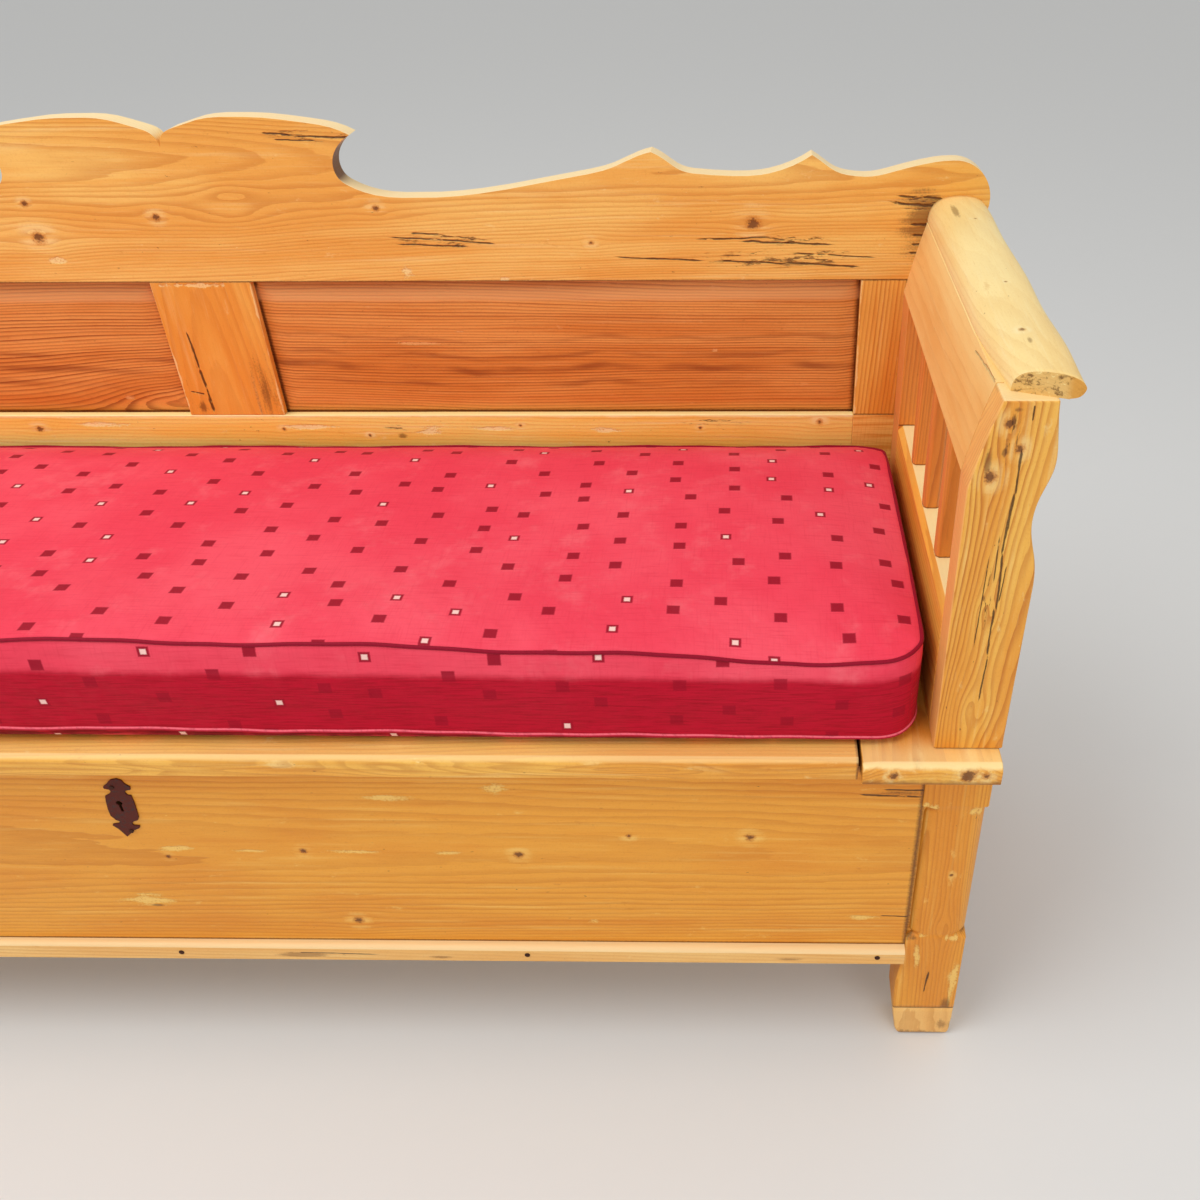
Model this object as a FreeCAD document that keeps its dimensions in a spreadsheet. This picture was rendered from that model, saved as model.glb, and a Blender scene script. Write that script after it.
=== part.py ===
import FreeCAD, Part
import math
import os
import Sketcher
from FreeCAD import Placement, Rotation, Vector

# A pine box settle: a framed back with a sawn crest rail, two arms with octagonal spindles, a
# storage box on four legs, a hinged lid between two fixed seat ends, and one long box cushion.
# +X is the sitter's left, the front faces -Y, +Z is up. The origin is on the floor, under the middle.

SIZES = {
    # overall
    "leg_span": 1800.0,
    "bench_depth": 533.0,
    "seat_top": 474.0,
    "seat_thickness": 24.0,
    "seat_overhang": 26.0,
    "clearance": 0.3,
    # back frame
    "stile_width": 116.0,
    "stile_thickness": 35.0,
    "crest_thickness": 24.0,
    "crest_height": 183.0,
    "crest_ear_reach": 23.0,
    "crest_shoulder": 52.0,
    "back_rail_height": 133.0,
    "panel_height": 173.0,
    "back_rail_thickness": 24.0,
    "muntin_width": 121.0,
    "panel_thickness": 10.0,
    "panel_setback": 10.0,
    "groove_depth": 9.0,
    "tenon_length": 42.0,
    "tenon_thickness": 9.0,
    "tenon_inset": 22.0,
    # arms
    "post_width": 67.0,
    "post_overhang": 2.0,
    "post_wave": 7.5,
    "post_thickness": 35.0,
    "rear_post_width": 45.0,
    "rear_post_thickness": 47.0,
    "post_height": 372.0,
    "post_tenon_width": 34.0,
    "post_tenon_thickness": 16.0,
    "post_tenon_length": 60.0,
    "armrest_width": 64.0,
    "armrest_height": 29.0,
    "armrest_flank": 8.0,
    "armrest_overhang": 16.0,
    "armrest_setback": 8.0,
    "arm_board_height": 81.0,
    "arm_board_thickness": 25.0,
    "arm_lean": 20.0,
    "arm_rail_height": 141.0,
    "arm_rail_thickness": 25.0,
    "arm_rail_bevel": 6.0,
    "spindle_width": 17.0,
    "spindle_setback": 6.0,
    "spindle_pitch": 97.3,
    "spindle_back_gap": 84.4,
    "spindle_tenon": 12.0,
    # box
    "leg_width": 69.0,
    "leg_thickness": 46.0,
    "foot_tip_height": 54.0,
    "foot_chamfer": 7.0,
    "stop_chamfer": 12.0,
    "stop_chamfer_top_gap": 62.0,
    "stop_chamfer_foot": 134.0,
    "box_bottom": 150.0,
    "front_panel_thickness": 22.0,
    "side_panel_thickness": 18.0,
    "side_panel_setback": 8.0,
    "box_back_thickness": 20.0,
    "tongue_length": 10.0,
    "tongue_thickness": 9.0,
    "strip_height": 23.0,
    "strip_thickness": 10.0,
    "bearer_width": 46.0,
    "bearer_height": 22.0,
    "bearer_inset": 211.0,
    "bottom_board_thickness": 16.0,
    "board_gap": 2.0,
    # seat
    "seat_end_width": 136.0,
    "lid_side_gap": 3.5,
    "lid_overhang": 18.5,
    "hinge_rail_width": 55.0,
    "batten_width": 50.0,
    "batten_thickness": 22.0,
    "batten_end_gap": 204.0,
    "batten_inset": 55.0,
    # hinges
    "hinge_end_gap": 284.0,
    "hinge_length": 76.0,
    "hinge_radius": 4.0,
    "hinge_plate": 2.0,
    "hinge_leaf_width": 28.0,
    "hinge_sink": 0.5,
    "hinge_gap": 5.0,
    "hinge_pin_radius": 1.8,
    "hinge_pin_clearance": 0.05,
    "knuckle_play": 0.3,
    "lid_rear_chamfer": 2.0,
    "screw_radius": 2.0,
    "screw_head_radius": 3.8,
    "screw_head_height": 1.4,
    "screw_length": 16.0,
    "screw_spread": 26.0,
    # lock
    "plate_thickness": 1.6,
    "plate_width": 29.0,
    "plate_height": 85.0,
    "plate_drop": 64.0,
    "keyhole_rise": 8.0,
    "keyhole_radius": 3.6,
    "keyhole_slot_width": 3.4,
    "keyhole_slot_length": 13.0,
    "key_depth": 14.0,
    "plate_pin_radius": 1.6,
    "plate_pin_head_radius": 2.4,
    "plate_pin_head": 1.0,
    "plate_pin_length": 12.0,
    "plate_pin_rise": 31.0,
    "plate_pin_drop": 33.0,
    "lock_width": 92.0,
    "lock_height": 62.0,
    "lock_depth": 22.0,
    "lock_middle_depth": 13.0,
    "lock_top_gap": 10.0,
    "bolt_length": 30.0,
    "bolt_height": 12.0,
    "bolt_depth": 5.0,
    "bolt_travel": 12.0,
    "bolt_drop": 14.0,
    "strike_length": 60.0,
    "strike_width": 16.0,
    "strike_plate": 2.0,
    "staple_thickness": 3.0,
    "staple_slack": 4.6,
    "staple_web": 2.5,
    "lock_play": 0.6,
    # nails
    "nail_radius": 1.5,
    "nail_head_radius": 3.0,
    "nail_head": 0.8,
    "nail_length": 22.0,
    "nail_end_gap": 31.0,
    # cushion
    "cushion_side_gap": 8.0,
    "cushion_front_gap": 3.0,
    "cushion_back_gap": 9.0,
    "cushion_height": 116.0,
    "cushion_corner": 26.0,
    "cushion_edge": 9.0,
}

doc = FreeCAD.newDocument("settle_bench")
sheet = doc.addObject("Spreadsheet::Sheet", "dims")
for row, (alias, number) in enumerate(SIZES.items(), start=1):
    sheet.set(f"A{row}", alias)
    sheet.set(f"B{row}", str(number))
    sheet.setAlias(f"B{row}", alias)
doc.recompute()

# The main planes, each worked out from the driving sizes
FRONT_EDGE = "(-dims.bench_depth / 2)"
BACK = "(dims.bench_depth / 2)"
LEG_FRONT = f"({FRONT_EDGE} + dims.seat_overhang)"
FRAME_FRONT = f"({BACK} - dims.stile_thickness)"
SEAT_UNDER = "(dims.seat_top - dims.seat_thickness)"
OUTSIDE = "(dims.leg_span / 2)"
STILE_INNER = f"({OUTSIDE} - dims.stile_width)"
LEG_INNER = f"({OUTSIDE} - dims.leg_width)"
POST_OUTER = f"({OUTSIDE} + dims.post_overhang)"
POST_INNER = f"({POST_OUTER} - dims.post_width)"
SEAT_END_INNER = f"({OUTSIDE} - dims.seat_end_width)"
HINGE_FACE = f"({FRAME_FRONT} - dims.hinge_rail_width)"
HINGE_Y = f"({HINGE_FACE} - dims.hinge_gap)"
HINGE_Z = "(dims.seat_top - dims.hinge_sink - dims.hinge_radius)"
PANEL_INSIDE = f"({LEG_FRONT} + dims.front_panel_thickness)"
BACK_RAIL_TOP = "(dims.seat_top + dims.back_rail_height)"
CREST_LOW = f"({BACK_RAIL_TOP} + dims.panel_height)"
POST_TOP = "(dims.seat_top + dims.post_height)"
ARM_BOARD_LOW = f"({POST_TOP} - dims.arm_board_height)"
ARM_RAIL_TOP = "(dims.seat_top + dims.arm_rail_height)"
PLATE_MIDDLE = f"({SEAT_UNDER} - dims.plate_drop)"
KEYHOLE = f"({PLATE_MIDDLE} + dims.keyhole_rise)"
SIDES = (("left", -1), ("right", 1))

nodes = {}


def value(expression):
    """The number that an expression on the sheet comes to."""
    return float(sheet.evalExpression(expression))


def keep(label, piece):
    """Name a finished piece, so that it is checked and written."""
    piece.Label = label
    nodes[label] = piece
    return piece


def block(name, x, y, z):
    """A straight box between two places along each axis, each place an expression."""
    box = doc.addObject("Part::Box", name)
    for size, axis, (low, high) in (("Length", "x", x), ("Width", "y", y), ("Height", "z", z)):
        box.setExpression(size, f"({high}) - ({low})")
        box.setExpression(f"Placement.Base.{axis}", low)
    return box


def side_block(name, sign, x, y, z):
    """A box on one side of the middle: x runs from the middle outwards."""
    near, far = x
    return block(name, (near, far) if sign > 0 else (f"-({far})", f"-({near})"), y, z)


def rod(name, radius, length, base, axis):
    """A round bar from a base point along an axis."""
    bar = doc.addObject("Part::Cylinder", name)
    bar.setExpression("Radius", radius)
    bar.setExpression("Height", length)
    turned = Rotation(Vector(0, 0, 1), Vector(*axis))
    bar.Placement = Placement(Vector(), turned)
    for letter, place in zip("xyz", base):
        bar.setExpression(f"Placement.Base.{letter}", place)
    return bar


def fuse(name, shapes):
    """Join the parts of one piece."""
    joined = doc.addObject("Part::MultiFuse", name)
    joined.Shapes = shapes
    joined.Refine = True
    return joined


def cut(name, base, tools):
    """Take the shapes of the tools out of a piece, so that they fit face to face."""
    tool = tools[0] if len(tools) == 1 else fuse(f"{name}_tools", tools)
    result = doc.addObject("Part::Cut", name)
    result.Base = base
    result.Tool = tool
    result.Refine = True
    return result


def plane_of(body, role):
    """One of a body's own origin planes."""
    return next(part for part in body.Origin.OriginFeatures if part.Role == role)


def rectangle(sketch, width, height):
    """Draw a rectangle from the sketch's origin and bind its two sides."""
    corners = (Vector(0, 0, 0), Vector(10, 0, 0), Vector(10, 10, 0), Vector(0, 10, 0))
    for start, end in zip(corners, corners[1:] + corners[:1]):
        sketch.addGeometry(Part.LineSegment(start, end), False)
    for first in range(4):
        sketch.addConstraint(Sketcher.Constraint("Coincident", first, 2, (first + 1) % 4, 1))
    sketch.addConstraint(Sketcher.Constraint("Horizontal", 0))
    sketch.addConstraint(Sketcher.Constraint("Horizontal", 2))
    sketch.addConstraint(Sketcher.Constraint("Vertical", 1))
    sketch.addConstraint(Sketcher.Constraint("Vertical", 3))
    sketch.addConstraint(Sketcher.Constraint("Coincident", 0, 1, -1, 1))
    wide = sketch.addConstraint(Sketcher.Constraint("DistanceX", 0, 1, 0, 2, 10))
    tall = sketch.addConstraint(Sketcher.Constraint("DistanceY", 1, 1, 1, 2, 10))
    sketch.setExpression(f"Constraints[{wide}]", width)
    sketch.setExpression(f"Constraints[{tall}]", height)


def upright(label, width, thickness, tall, base):
    """A body padded up from a rectangle, placed by its lowest corner."""
    body = doc.addObject("PartDesign::Body", label)
    sketch = body.newObject("Sketcher::SketchObject", f"{label}_section")
    sketch.AttachmentSupport = (plane_of(body, "XY_Plane"), [""])
    sketch.MapMode = "FlatFace"
    rectangle(sketch, width, thickness)
    pad = body.newObject("PartDesign::Pad", f"{label}_pad")
    pad.Profile = sketch
    pad.setExpression("Length", tall)
    for letter, place in zip("xyz", base):
        body.setExpression(f"Placement.Base.{letter}", place)
    return body, pad


def curve(points):
    """One smooth edge through the given points."""
    spline = Part.BSplineCurve()
    spline.interpolate(points)
    return spline.toShape()


def straight(first, second):
    """One straight edge."""
    return Part.LineSegment(first, second).toShape()


def slab(edges, direction):
    """A solid: the closed outline carried along a direction."""
    wire = Part.Wire(Part.__sortEdges__(edges))
    return Part.Face(wire).extrude(direction)


def flipped(shape):
    """The same piece on the other side of the middle."""
    return shape.mirror(Vector(0, 0, 0), Vector(1, 0, 0))


def feature(name, shape):
    """A piece whose outline is worked out in code from the sheet's sizes."""
    piece = doc.addObject("Part::Feature", name)
    piece.Shape = shape
    return piece


# Back panels, held in grooves all round
def back_panels():
    panels = {}
    groove = "dims.groove_depth"
    front = f"{FRAME_FRONT} + dims.panel_setback"
    for side, sign in SIDES:
        panels[side] = keep(f"back_panel_{side}", side_block(
            f"back_panel_{side}", sign,
            (f"dims.muntin_width / 2 - {groove}", f"{STILE_INNER} + {groove}"),
            (front, f"{front} + dims.panel_thickness"),
            (f"{BACK_RAIL_TOP} - {groove}", f"{CREST_LOW} + {groove}")))
    return panels


def tenon(name, x, z):
    """A stub tenon in the middle of the frame's thickness."""
    middle = f"({FRAME_FRONT} + dims.crest_thickness / 2)"
    half = "dims.tenon_thickness / 2"
    return block(name, x, (f"{middle} - {half}", f"{middle} + {half}"), z)


def centre_muntin(panels):
    half = "dims.muntin_width / 2"
    inset = f"({half} - dims.tenon_inset)"
    board = block("muntin_board", (f"-{half}", half),
                  (FRAME_FRONT, f"{FRAME_FRONT} + dims.crest_thickness"),
                  (BACK_RAIL_TOP, CREST_LOW))
    ends = tenon("muntin_tenons", (f"-{inset}", inset),
                 (f"{BACK_RAIL_TOP} - dims.tenon_length", f"{CREST_LOW} + dims.tenon_length"))
    whole = fuse("muntin_whole", [board, ends])
    return keep("centre_muntin", cut("centre_muntin", whole, list(panels.values())))


def back_rail(panels, muntin):
    board = block("back_rail_board", (f"-{STILE_INNER}", STILE_INNER),
                  (FRAME_FRONT, f"{FRAME_FRONT} + dims.back_rail_thickness"),
                  ("dims.seat_top", BACK_RAIL_TOP))
    reach = f"({STILE_INNER} + dims.tenon_length)"
    ends = tenon("back_rail_tenons", (f"-{reach}", reach),
                 ("dims.seat_top + dims.tenon_inset", f"{BACK_RAIL_TOP} - dims.tenon_inset"))
    whole = fuse("back_rail_whole", [board, ends])
    return keep("back_rail", cut("back_rail", whole, [muntin, *panels.values()]))


def box_back():
    """The back board of the box, between the stiles, with a tongue at each end."""
    rear = f"{FRAME_FRONT} + dims.box_back_thickness"
    board = block("box_back_board", (f"-{STILE_INNER}", STILE_INNER), (FRAME_FRONT, rear),
                  ("dims.box_bottom", "dims.seat_top"))
    middle = f"({FRAME_FRONT} + dims.box_back_thickness / 2)"
    reach = f"({STILE_INNER} + dims.tongue_length)"
    tongue = block("box_back_tongues", (f"-{reach}", reach),
                   (f"{middle} - dims.tongue_thickness / 2", f"{middle} + dims.tongue_thickness / 2"),
                   ("dims.box_bottom", "dims.seat_top"))
    return keep("box_back", fuse("box_back", [board, tongue]))


def stiles(panels, rail, backing):
    """Each stile is also the back leg: it runs from the floor to the crest rail."""
    made = []
    for side, sign in SIDES:
        board = side_block(f"stile_board_{side}", sign, (STILE_INNER, OUTSIDE), (FRAME_FRONT, BACK),
                           ("0", CREST_LOW))
        near, far = f"{STILE_INNER} + dims.tenon_inset", f"{OUTSIDE} - dims.tenon_inset"
        if sign < 0:
            near, far = f"-({far})", f"-({near})"
        top = tenon(f"stile_tenon_{side}", (near, far),
                    (CREST_LOW, f"{CREST_LOW} + dims.tenon_length"))
        whole = fuse(f"stile_whole_{side}", [board, top])
        made.append(keep(f"back_stile_{side}",
                         cut(f"back_stile_{side}", whole, [rail, backing, panels[side]])))
    return made


def crest_outline():
    """The right half of the crest's wavy top, from the middle outwards, as smooth stretches."""
    low, high = value(CREST_LOW), value(f"{CREST_LOW} + dims.crest_height")
    end, reach = value(OUTSIDE), value("dims.crest_ear_reach")
    # each place: its share of the half length to the ear's tip, and of the crest's height
    stretches = (
        ((0.0, 0.831), (0.006, 0.902), (0.029, 0.951), (0.054, 0.986), (0.098, 1.0),
         (0.129, 0.995), (0.177, 0.967), (0.208, 0.940), (0.231, 0.893)),
        ((0.231, 0.893), (0.213, 0.825), (0.204, 0.732), (0.208, 0.639), (0.219, 0.596),
         (0.264, 0.530), (0.297, 0.525)),
        ((0.297, 0.525), (0.373, 0.546), (0.457, 0.612), (0.507, 0.656), (0.542, 0.699),
         (0.569, 0.757), (0.589, 0.787)),
        ((0.589, 0.787), (0.605, 0.743), (0.623, 0.683), (0.650, 0.656), (0.689, 0.645),
         (0.723, 0.653), (0.748, 0.683), (0.782, 0.765)),
        ((0.782, 0.765), (0.793, 0.729), (0.810, 0.672), (0.833, 0.642), (0.859, 0.641),
         (0.885, 0.672), (0.907, 0.699), (0.930, 0.721), (0.951, 0.729)),
    )
    edges = []
    for stretch in stretches:
        edges.append(curve([Vector(x * (end + reach), 0, low + z * (high - low)) for x, z in stretch]))
    # the ear: a round end beyond the stile that turns in again to the stile's outer face
    start = stretches[-1][-1]
    shoulder = low + value("dims.crest_shoulder")
    top = low + start[1] * (high - low)
    widest = shoulder + 0.43 * (top - shoulder)
    edges.append(Part.Arc(Vector(start[0] * (end + reach), 0, top), Vector(end + reach, 0, widest),
                          Vector(end, 0, shoulder)).toShape())
    return edges


def crest_rail(members):
    edges = crest_outline()
    edges += [flipped(edge) for edge in crest_outline()]
    end, low = value(OUTSIDE), value(CREST_LOW)
    shoulder = low + value("dims.crest_shoulder")
    edges += [straight(Vector(end, 0, shoulder), Vector(end, 0, low)),
              straight(Vector(end, 0, low), Vector(-end, 0, low)),
              straight(Vector(-end, 0, low), Vector(-end, 0, shoulder))]
    blank = feature("crest_blank", slab(edges, Vector(0, value("dims.crest_thickness"), 0)))
    blank.Placement = Placement(Vector(0, value(FRAME_FRONT), 0), Rotation())
    return keep("crest_rail", cut("crest_rail", blank, members))


def arm_lean(height):
    """How far the arm's inner face has leaned outwards at a height: nothing below the board's foot."""
    low, high = value(ARM_BOARD_LOW), value(POST_TOP)
    share = max(0.0, (height - low) / (high - low))
    return value("dims.arm_lean") * (0.75 * share + 0.25 * share ** 2)


def inner_face(inset=0.0):
    """The leaning inner face of the arm, as places from its foot to the armrest."""
    low, high = value(ARM_BOARD_LOW), value(POST_TOP)
    base = value(POST_INNER)
    heights = [low + (high - low) * step / 4 for step in range(5)]
    return [Vector(base + inset + arm_lean(height), 0, height) for height in heights]


def arm_boards():
    """The wide board under each armrest, leaning outwards with a slightly hollow face."""
    length = f"{FRAME_FRONT} - {LEG_FRONT} - dims.post_thickness"
    thick = value("dims.arm_board_thickness")
    near, far = inner_face(), inner_face(thick)
    edges = [curve(near), straight(near[-1], far[-1]), curve(far), straight(far[0], near[0])]
    shape = slab(edges, Vector(0, value(length), 0))
    boards = {}
    for side, sign in SIDES:
        board = feature(f"arm_board_blank_{side}", shape if sign > 0 else flipped(shape))
        start = value(f"{LEG_FRONT} + dims.post_thickness")
        board.Placement = Placement(Vector(0, start, 0), Rotation())
        boards[side] = board
    return boards


def armrests():
    """Half-round rails that lie on the front post and on the arm board, and butt on the crest."""
    width, tall = value("dims.armrest_width"), value("dims.armrest_height")
    low = value(POST_TOP)
    middle = value(f"{POST_OUTER} + dims.armrest_overhang - dims.armrest_width / 2")
    flank = value("dims.armrest_flank")
    points = [Vector(middle - width / 2, 0, low), Vector(middle - width / 2, 0, low + flank),
              Vector(middle, 0, low + tall), Vector(middle + width / 2, 0, low + flank),
              Vector(middle + width / 2, 0, low)]
    crown = Part.Arc(points[1], points[2], points[3]).toShape()
    edges = [straight(points[0], points[1]), crown, straight(points[3], points[4]),
             straight(points[4], points[0])]
    front = value(f"{LEG_FRONT} + dims.armrest_setback")
    shape = slab(edges, Vector(0, value(FRAME_FRONT) - front, 0))
    for side, sign in SIDES:
        rest = feature(f"armrest_{side}", shape if sign > 0 else flipped(shape))
        rest.Placement = Placement(Vector(0, front, 0), Rotation())
        keep(f"armrest_{side}", rest)


def front_posts():
    """The shaped front posts: a straight inner edge that leans at the top, a wavy outer edge."""
    low, high = value("dims.seat_top"), value(POST_TOP)
    inner, outer = value(POST_INNER), value(POST_OUTER)
    foot = value(ARM_BOARD_LOW)
    tall = high - low
    # places up the outer edge: the share of the height, and how far it comes in, in waves
    wave = ((0.0, -0.1), (0.22, -0.15), (0.465, -0.33), (0.554, -0.27), (0.591, 0.0), (0.669, 0.93),
            (0.718, 1.0), (0.758, 0.67), (0.833, -0.4), (0.92, -0.15), (1.0, 0.25))
    depth = value("dims.post_wave")
    outside = [Vector(outer - depth * come_in, 0, low + share * tall) for share, come_in in wave]
    lean = inner_face()
    edges = [straight(Vector(inner, 0, low), Vector(inner, 0, foot)), curve(lean),
             straight(lean[-1], outside[-1]), curve(outside), straight(outside[0], Vector(inner, 0, low))]
    shape = slab(edges, Vector(0, value("dims.post_thickness"), 0))
    posts = {}
    for side, sign in SIDES:
        blank = feature(f"post_blank_{side}", shape if sign > 0 else flipped(shape))
        blank.Placement = Placement(Vector(0, value(LEG_FRONT), 0), Rotation())
        middle = f"({OUTSIDE} - dims.leg_width / 2)"
        centre = f"({LEG_FRONT} + dims.post_thickness / 2)"
        stub = side_block(f"post_tenon_{side}", sign,
                          (f"{middle} - dims.post_tenon_width / 2", f"{middle} + dims.post_tenon_width / 2"),
                          (f"{centre} - dims.post_tenon_thickness / 2",
                           f"{centre} + dims.post_tenon_thickness / 2"),
                          ("dims.seat_top - dims.post_tenon_length", "dims.seat_top + dims.clearance"))
        posts[side] = keep(f"front_arm_post_{side}", fuse(f"front_arm_post_{side}", [blank, stub]))
    return posts


def arm_rails_and_spindles(boards):
    """Lower rails on the seat ends, rear posts against the stiles, three spindles on each side."""
    rear_face = f"({FRAME_FRONT} - dims.rear_post_thickness)"
    middle = f"({POST_INNER} + dims.spindle_setback + dims.spindle_width / 2)"
    for side, sign in SIDES:
        keep(f"rear_arm_post_{side}", side_block(
            f"rear_arm_post_{side}", sign, (POST_INNER, f"{POST_INNER} + dims.rear_post_width"),
            (rear_face, FRAME_FRONT), ("dims.seat_top", ARM_BOARD_LOW)))
        spindles = []
        for number in range(3):
            name = f"arm_spindle_{side}_{number + 1}"
            stick = doc.addObject("Part::Prism", name)
            stick.Polygon = 8
            stick.setExpression("Circumradius", "dims.spindle_width / 2 / cos(22.5)")
            stick.setExpression("Height", f"{ARM_BOARD_LOW} - {ARM_RAIL_TOP}"
                                          " + 2 * dims.spindle_tenon")
            stick.Placement = Placement(Vector(), Rotation(Vector(0, 0, 1), 22.5))
            stick.setExpression("Placement.Base.x", middle if sign > 0 else f"-{middle}")
            stick.setExpression("Placement.Base.y", f"{rear_face} - dims.spindle_back_gap"
                                f" - dims.spindle_width / 2 - dims.spindle_pitch * {number}")
            stick.setExpression("Placement.Base.z", f"{ARM_RAIL_TOP} - dims.spindle_tenon")
            spindles.append(keep(name, stick))
        front_face = f"{LEG_FRONT} + dims.post_thickness"
        rail = side_block(f"arm_rail_blank_{side}", sign,
                          (POST_INNER, f"{POST_INNER} + dims.arm_rail_thickness"),
                          (front_face, rear_face), ("dims.seat_top", ARM_RAIL_TOP))
        bevel = block(f"arm_rail_bevel_{side}", ("0", "dims.arm_rail_bevel * sqrt(2)"),
                      (front_face, rear_face), ("0", "dims.arm_rail_bevel * sqrt(2)"))
        bevel.Placement = Placement(Vector(), Rotation(Vector(0, 1, 0), 45))
        edge = POST_INNER if sign > 0 else f"-{POST_INNER}"
        bevel.setExpression("Placement.Base.x", f"{edge} - dims.arm_rail_bevel")
        bevel.setExpression("Placement.Base.y", front_face)
        bevel.setExpression("Placement.Base.z", ARM_RAIL_TOP)
        keep(f"arm_rail_{side}", cut(f"arm_rail_{side}", rail, [bevel, *spindles]))
        keep(f"arm_board_{side}", cut(f"arm_board_{side}", boards[side], spindles))


def front_panel(plate_pins):
    """The front of the box, with a tongue in each leg and the keyhole through it."""
    board = block("front_board", (f"-{LEG_INNER}", LEG_INNER), (LEG_FRONT, PANEL_INSIDE),
                  ("dims.box_bottom", SEAT_UNDER))
    middle = f"({LEG_FRONT} + dims.front_panel_thickness / 2)"
    reach = f"({LEG_INNER} + dims.tongue_length)"
    tongue = block("front_tongues", (f"-{reach}", reach),
                   (f"{middle} - dims.tongue_thickness / 2", f"{middle} + dims.tongue_thickness / 2"),
                   ("dims.box_bottom", SEAT_UNDER))
    whole = fuse("front_whole", [board, tongue])
    return keep("front_panel", cut("front_panel", whole, [*keyhole("panel"), plate_pins]))


def keyhole(name):
    """The shape of the keyhole, through the plate and the panel and on into the lock."""
    start = f"{LEG_FRONT} - 2 * dims.plate_thickness"
    length = "dims.front_panel_thickness + 2 * dims.plate_thickness + dims.key_depth"
    round_part = rod(f"keyhole_round_{name}", "dims.keyhole_radius", length,
                     ("0", start, KEYHOLE), (0, 1, 0))
    slot = block(f"keyhole_slot_{name}",
                 ("-dims.keyhole_slot_width / 2", "dims.keyhole_slot_width / 2"),
                 (start, f"{start} + {length}"),
                 (f"{KEYHOLE} - dims.keyhole_slot_length", KEYHOLE))
    return round_part, slot


def keyhole_plate():
    """The dark iron plate round the keyhole: a pointed top and tail, and horns at the corners."""
    wide, tall = value("dims.plate_width / 2"), value("dims.plate_height / 2")
    middle = value(PLATE_MIDDLE)
    # a quarter of the outline, as shares of the half width and half height, from the point
    quarter = ((0.0, 1.0), (0.22, 0.86), (0.36, 0.74), (0.98, 0.80), (0.78, 0.60), (0.98, 0.46), (0.98, 0.0))
    side = [(x * wide, z * tall) for x, z in quarter]
    side += [(x, -z) for x, z in reversed(side[:-1])]
    outline = [Vector(x, 0, middle + z) for x, z in side]
    outline += [Vector(-point.x, 0, point.z) for point in reversed(outline[1:-1])]
    outline.append(outline[0])
    edges = [straight(a, b) for a, b in zip(outline, outline[1:])]
    thick = value("dims.plate_thickness")
    blank = feature("plate_blank", slab(edges, Vector(0, thick, 0)))
    blank.Placement = Placement(Vector(0, value(LEG_FRONT) - thick, 0), Rotation())
    pins = []
    for number, height in enumerate((f"{PLATE_MIDDLE} + dims.plate_pin_rise",
                                     f"{PLATE_MIDDLE} - dims.plate_pin_drop")):
        shank = rod(f"plate_pin_shank_{number}", "dims.plate_pin_radius", "dims.plate_pin_length",
                    ("0", f"{LEG_FRONT} - dims.plate_thickness", height), (0, 1, 0))
        head = rod(f"plate_pin_head_{number}", "dims.plate_pin_head_radius", "dims.plate_pin_head",
                   ("0", f"{LEG_FRONT} - dims.plate_thickness - dims.plate_pin_head", height), (0, 1, 0))
        pins.append(fuse(f"plate_pin_{number}", [shank, head]))
    group = doc.addObject("Part::Compound", "keyhole_plate_pins")
    group.Links = pins
    keep("keyhole_plate_pins", group)
    keep("keyhole_plate", cut("keyhole_plate", blank, [*keyhole("plate"), group]))
    return group


def front_legs(posts, panel):
    """Legs with stopped chamfers on the two front edges, bored for the arm posts' tenons."""
    for side, sign in SIDES:
        low_x = LEG_INNER if sign > 0 else f"-({OUTSIDE})"
        body, pad = upright(f"leg_blank_{side}", "dims.leg_width", "dims.leg_thickness",
                            f"{SEAT_UNDER} - dims.foot_tip_height", (low_x, LEG_FRONT, "dims.foot_tip_height"))
        wedges = []
        for number, edge in enumerate((low_x, f"{low_x} + dims.leg_width")):
            wedge = block(f"leg_chamfer_{side}_{number}", (edge, f"{edge} + dims.stop_chamfer"),
                          (LEG_FRONT, f"{LEG_FRONT} + dims.stop_chamfer"),
                          ("dims.foot_tip_height + dims.stop_chamfer_foot",
                           f"{SEAT_UNDER} - dims.stop_chamfer_top_gap"))
            wedge.Placement = Placement(Vector(), Rotation(Vector(0, 0, 1), 45))
            wedge.setExpression("Placement.Base.x", edge)
            wedge.setExpression("Placement.Base.y", f"{LEG_FRONT} - dims.stop_chamfer * sqrt(2) / 2")
            wedges.append(wedge)
        keep(f"front_leg_{side}", cut(f"front_leg_{side}", body, [*wedges, posts[side], panel]))
        tip, tip_pad = upright(f"foot_tip_{side}", "dims.leg_width", "dims.leg_thickness",
                               "dims.foot_tip_height", (low_x, LEG_FRONT, "0"))
        doc.recompute()
        low_edges = [f"Edge{index + 1}" for index, edge in enumerate(tip_pad.Shape.Edges)
                     if edge.BoundBox.ZMax < 0.001]
        bevel = tip.newObject("PartDesign::Chamfer", f"foot_tip_bevel_{side}")
        bevel.Base = (tip_pad, low_edges)
        bevel.setExpression("Size", "dims.foot_chamfer")
        keep(f"foot_tip_{side}", tip)


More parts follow.
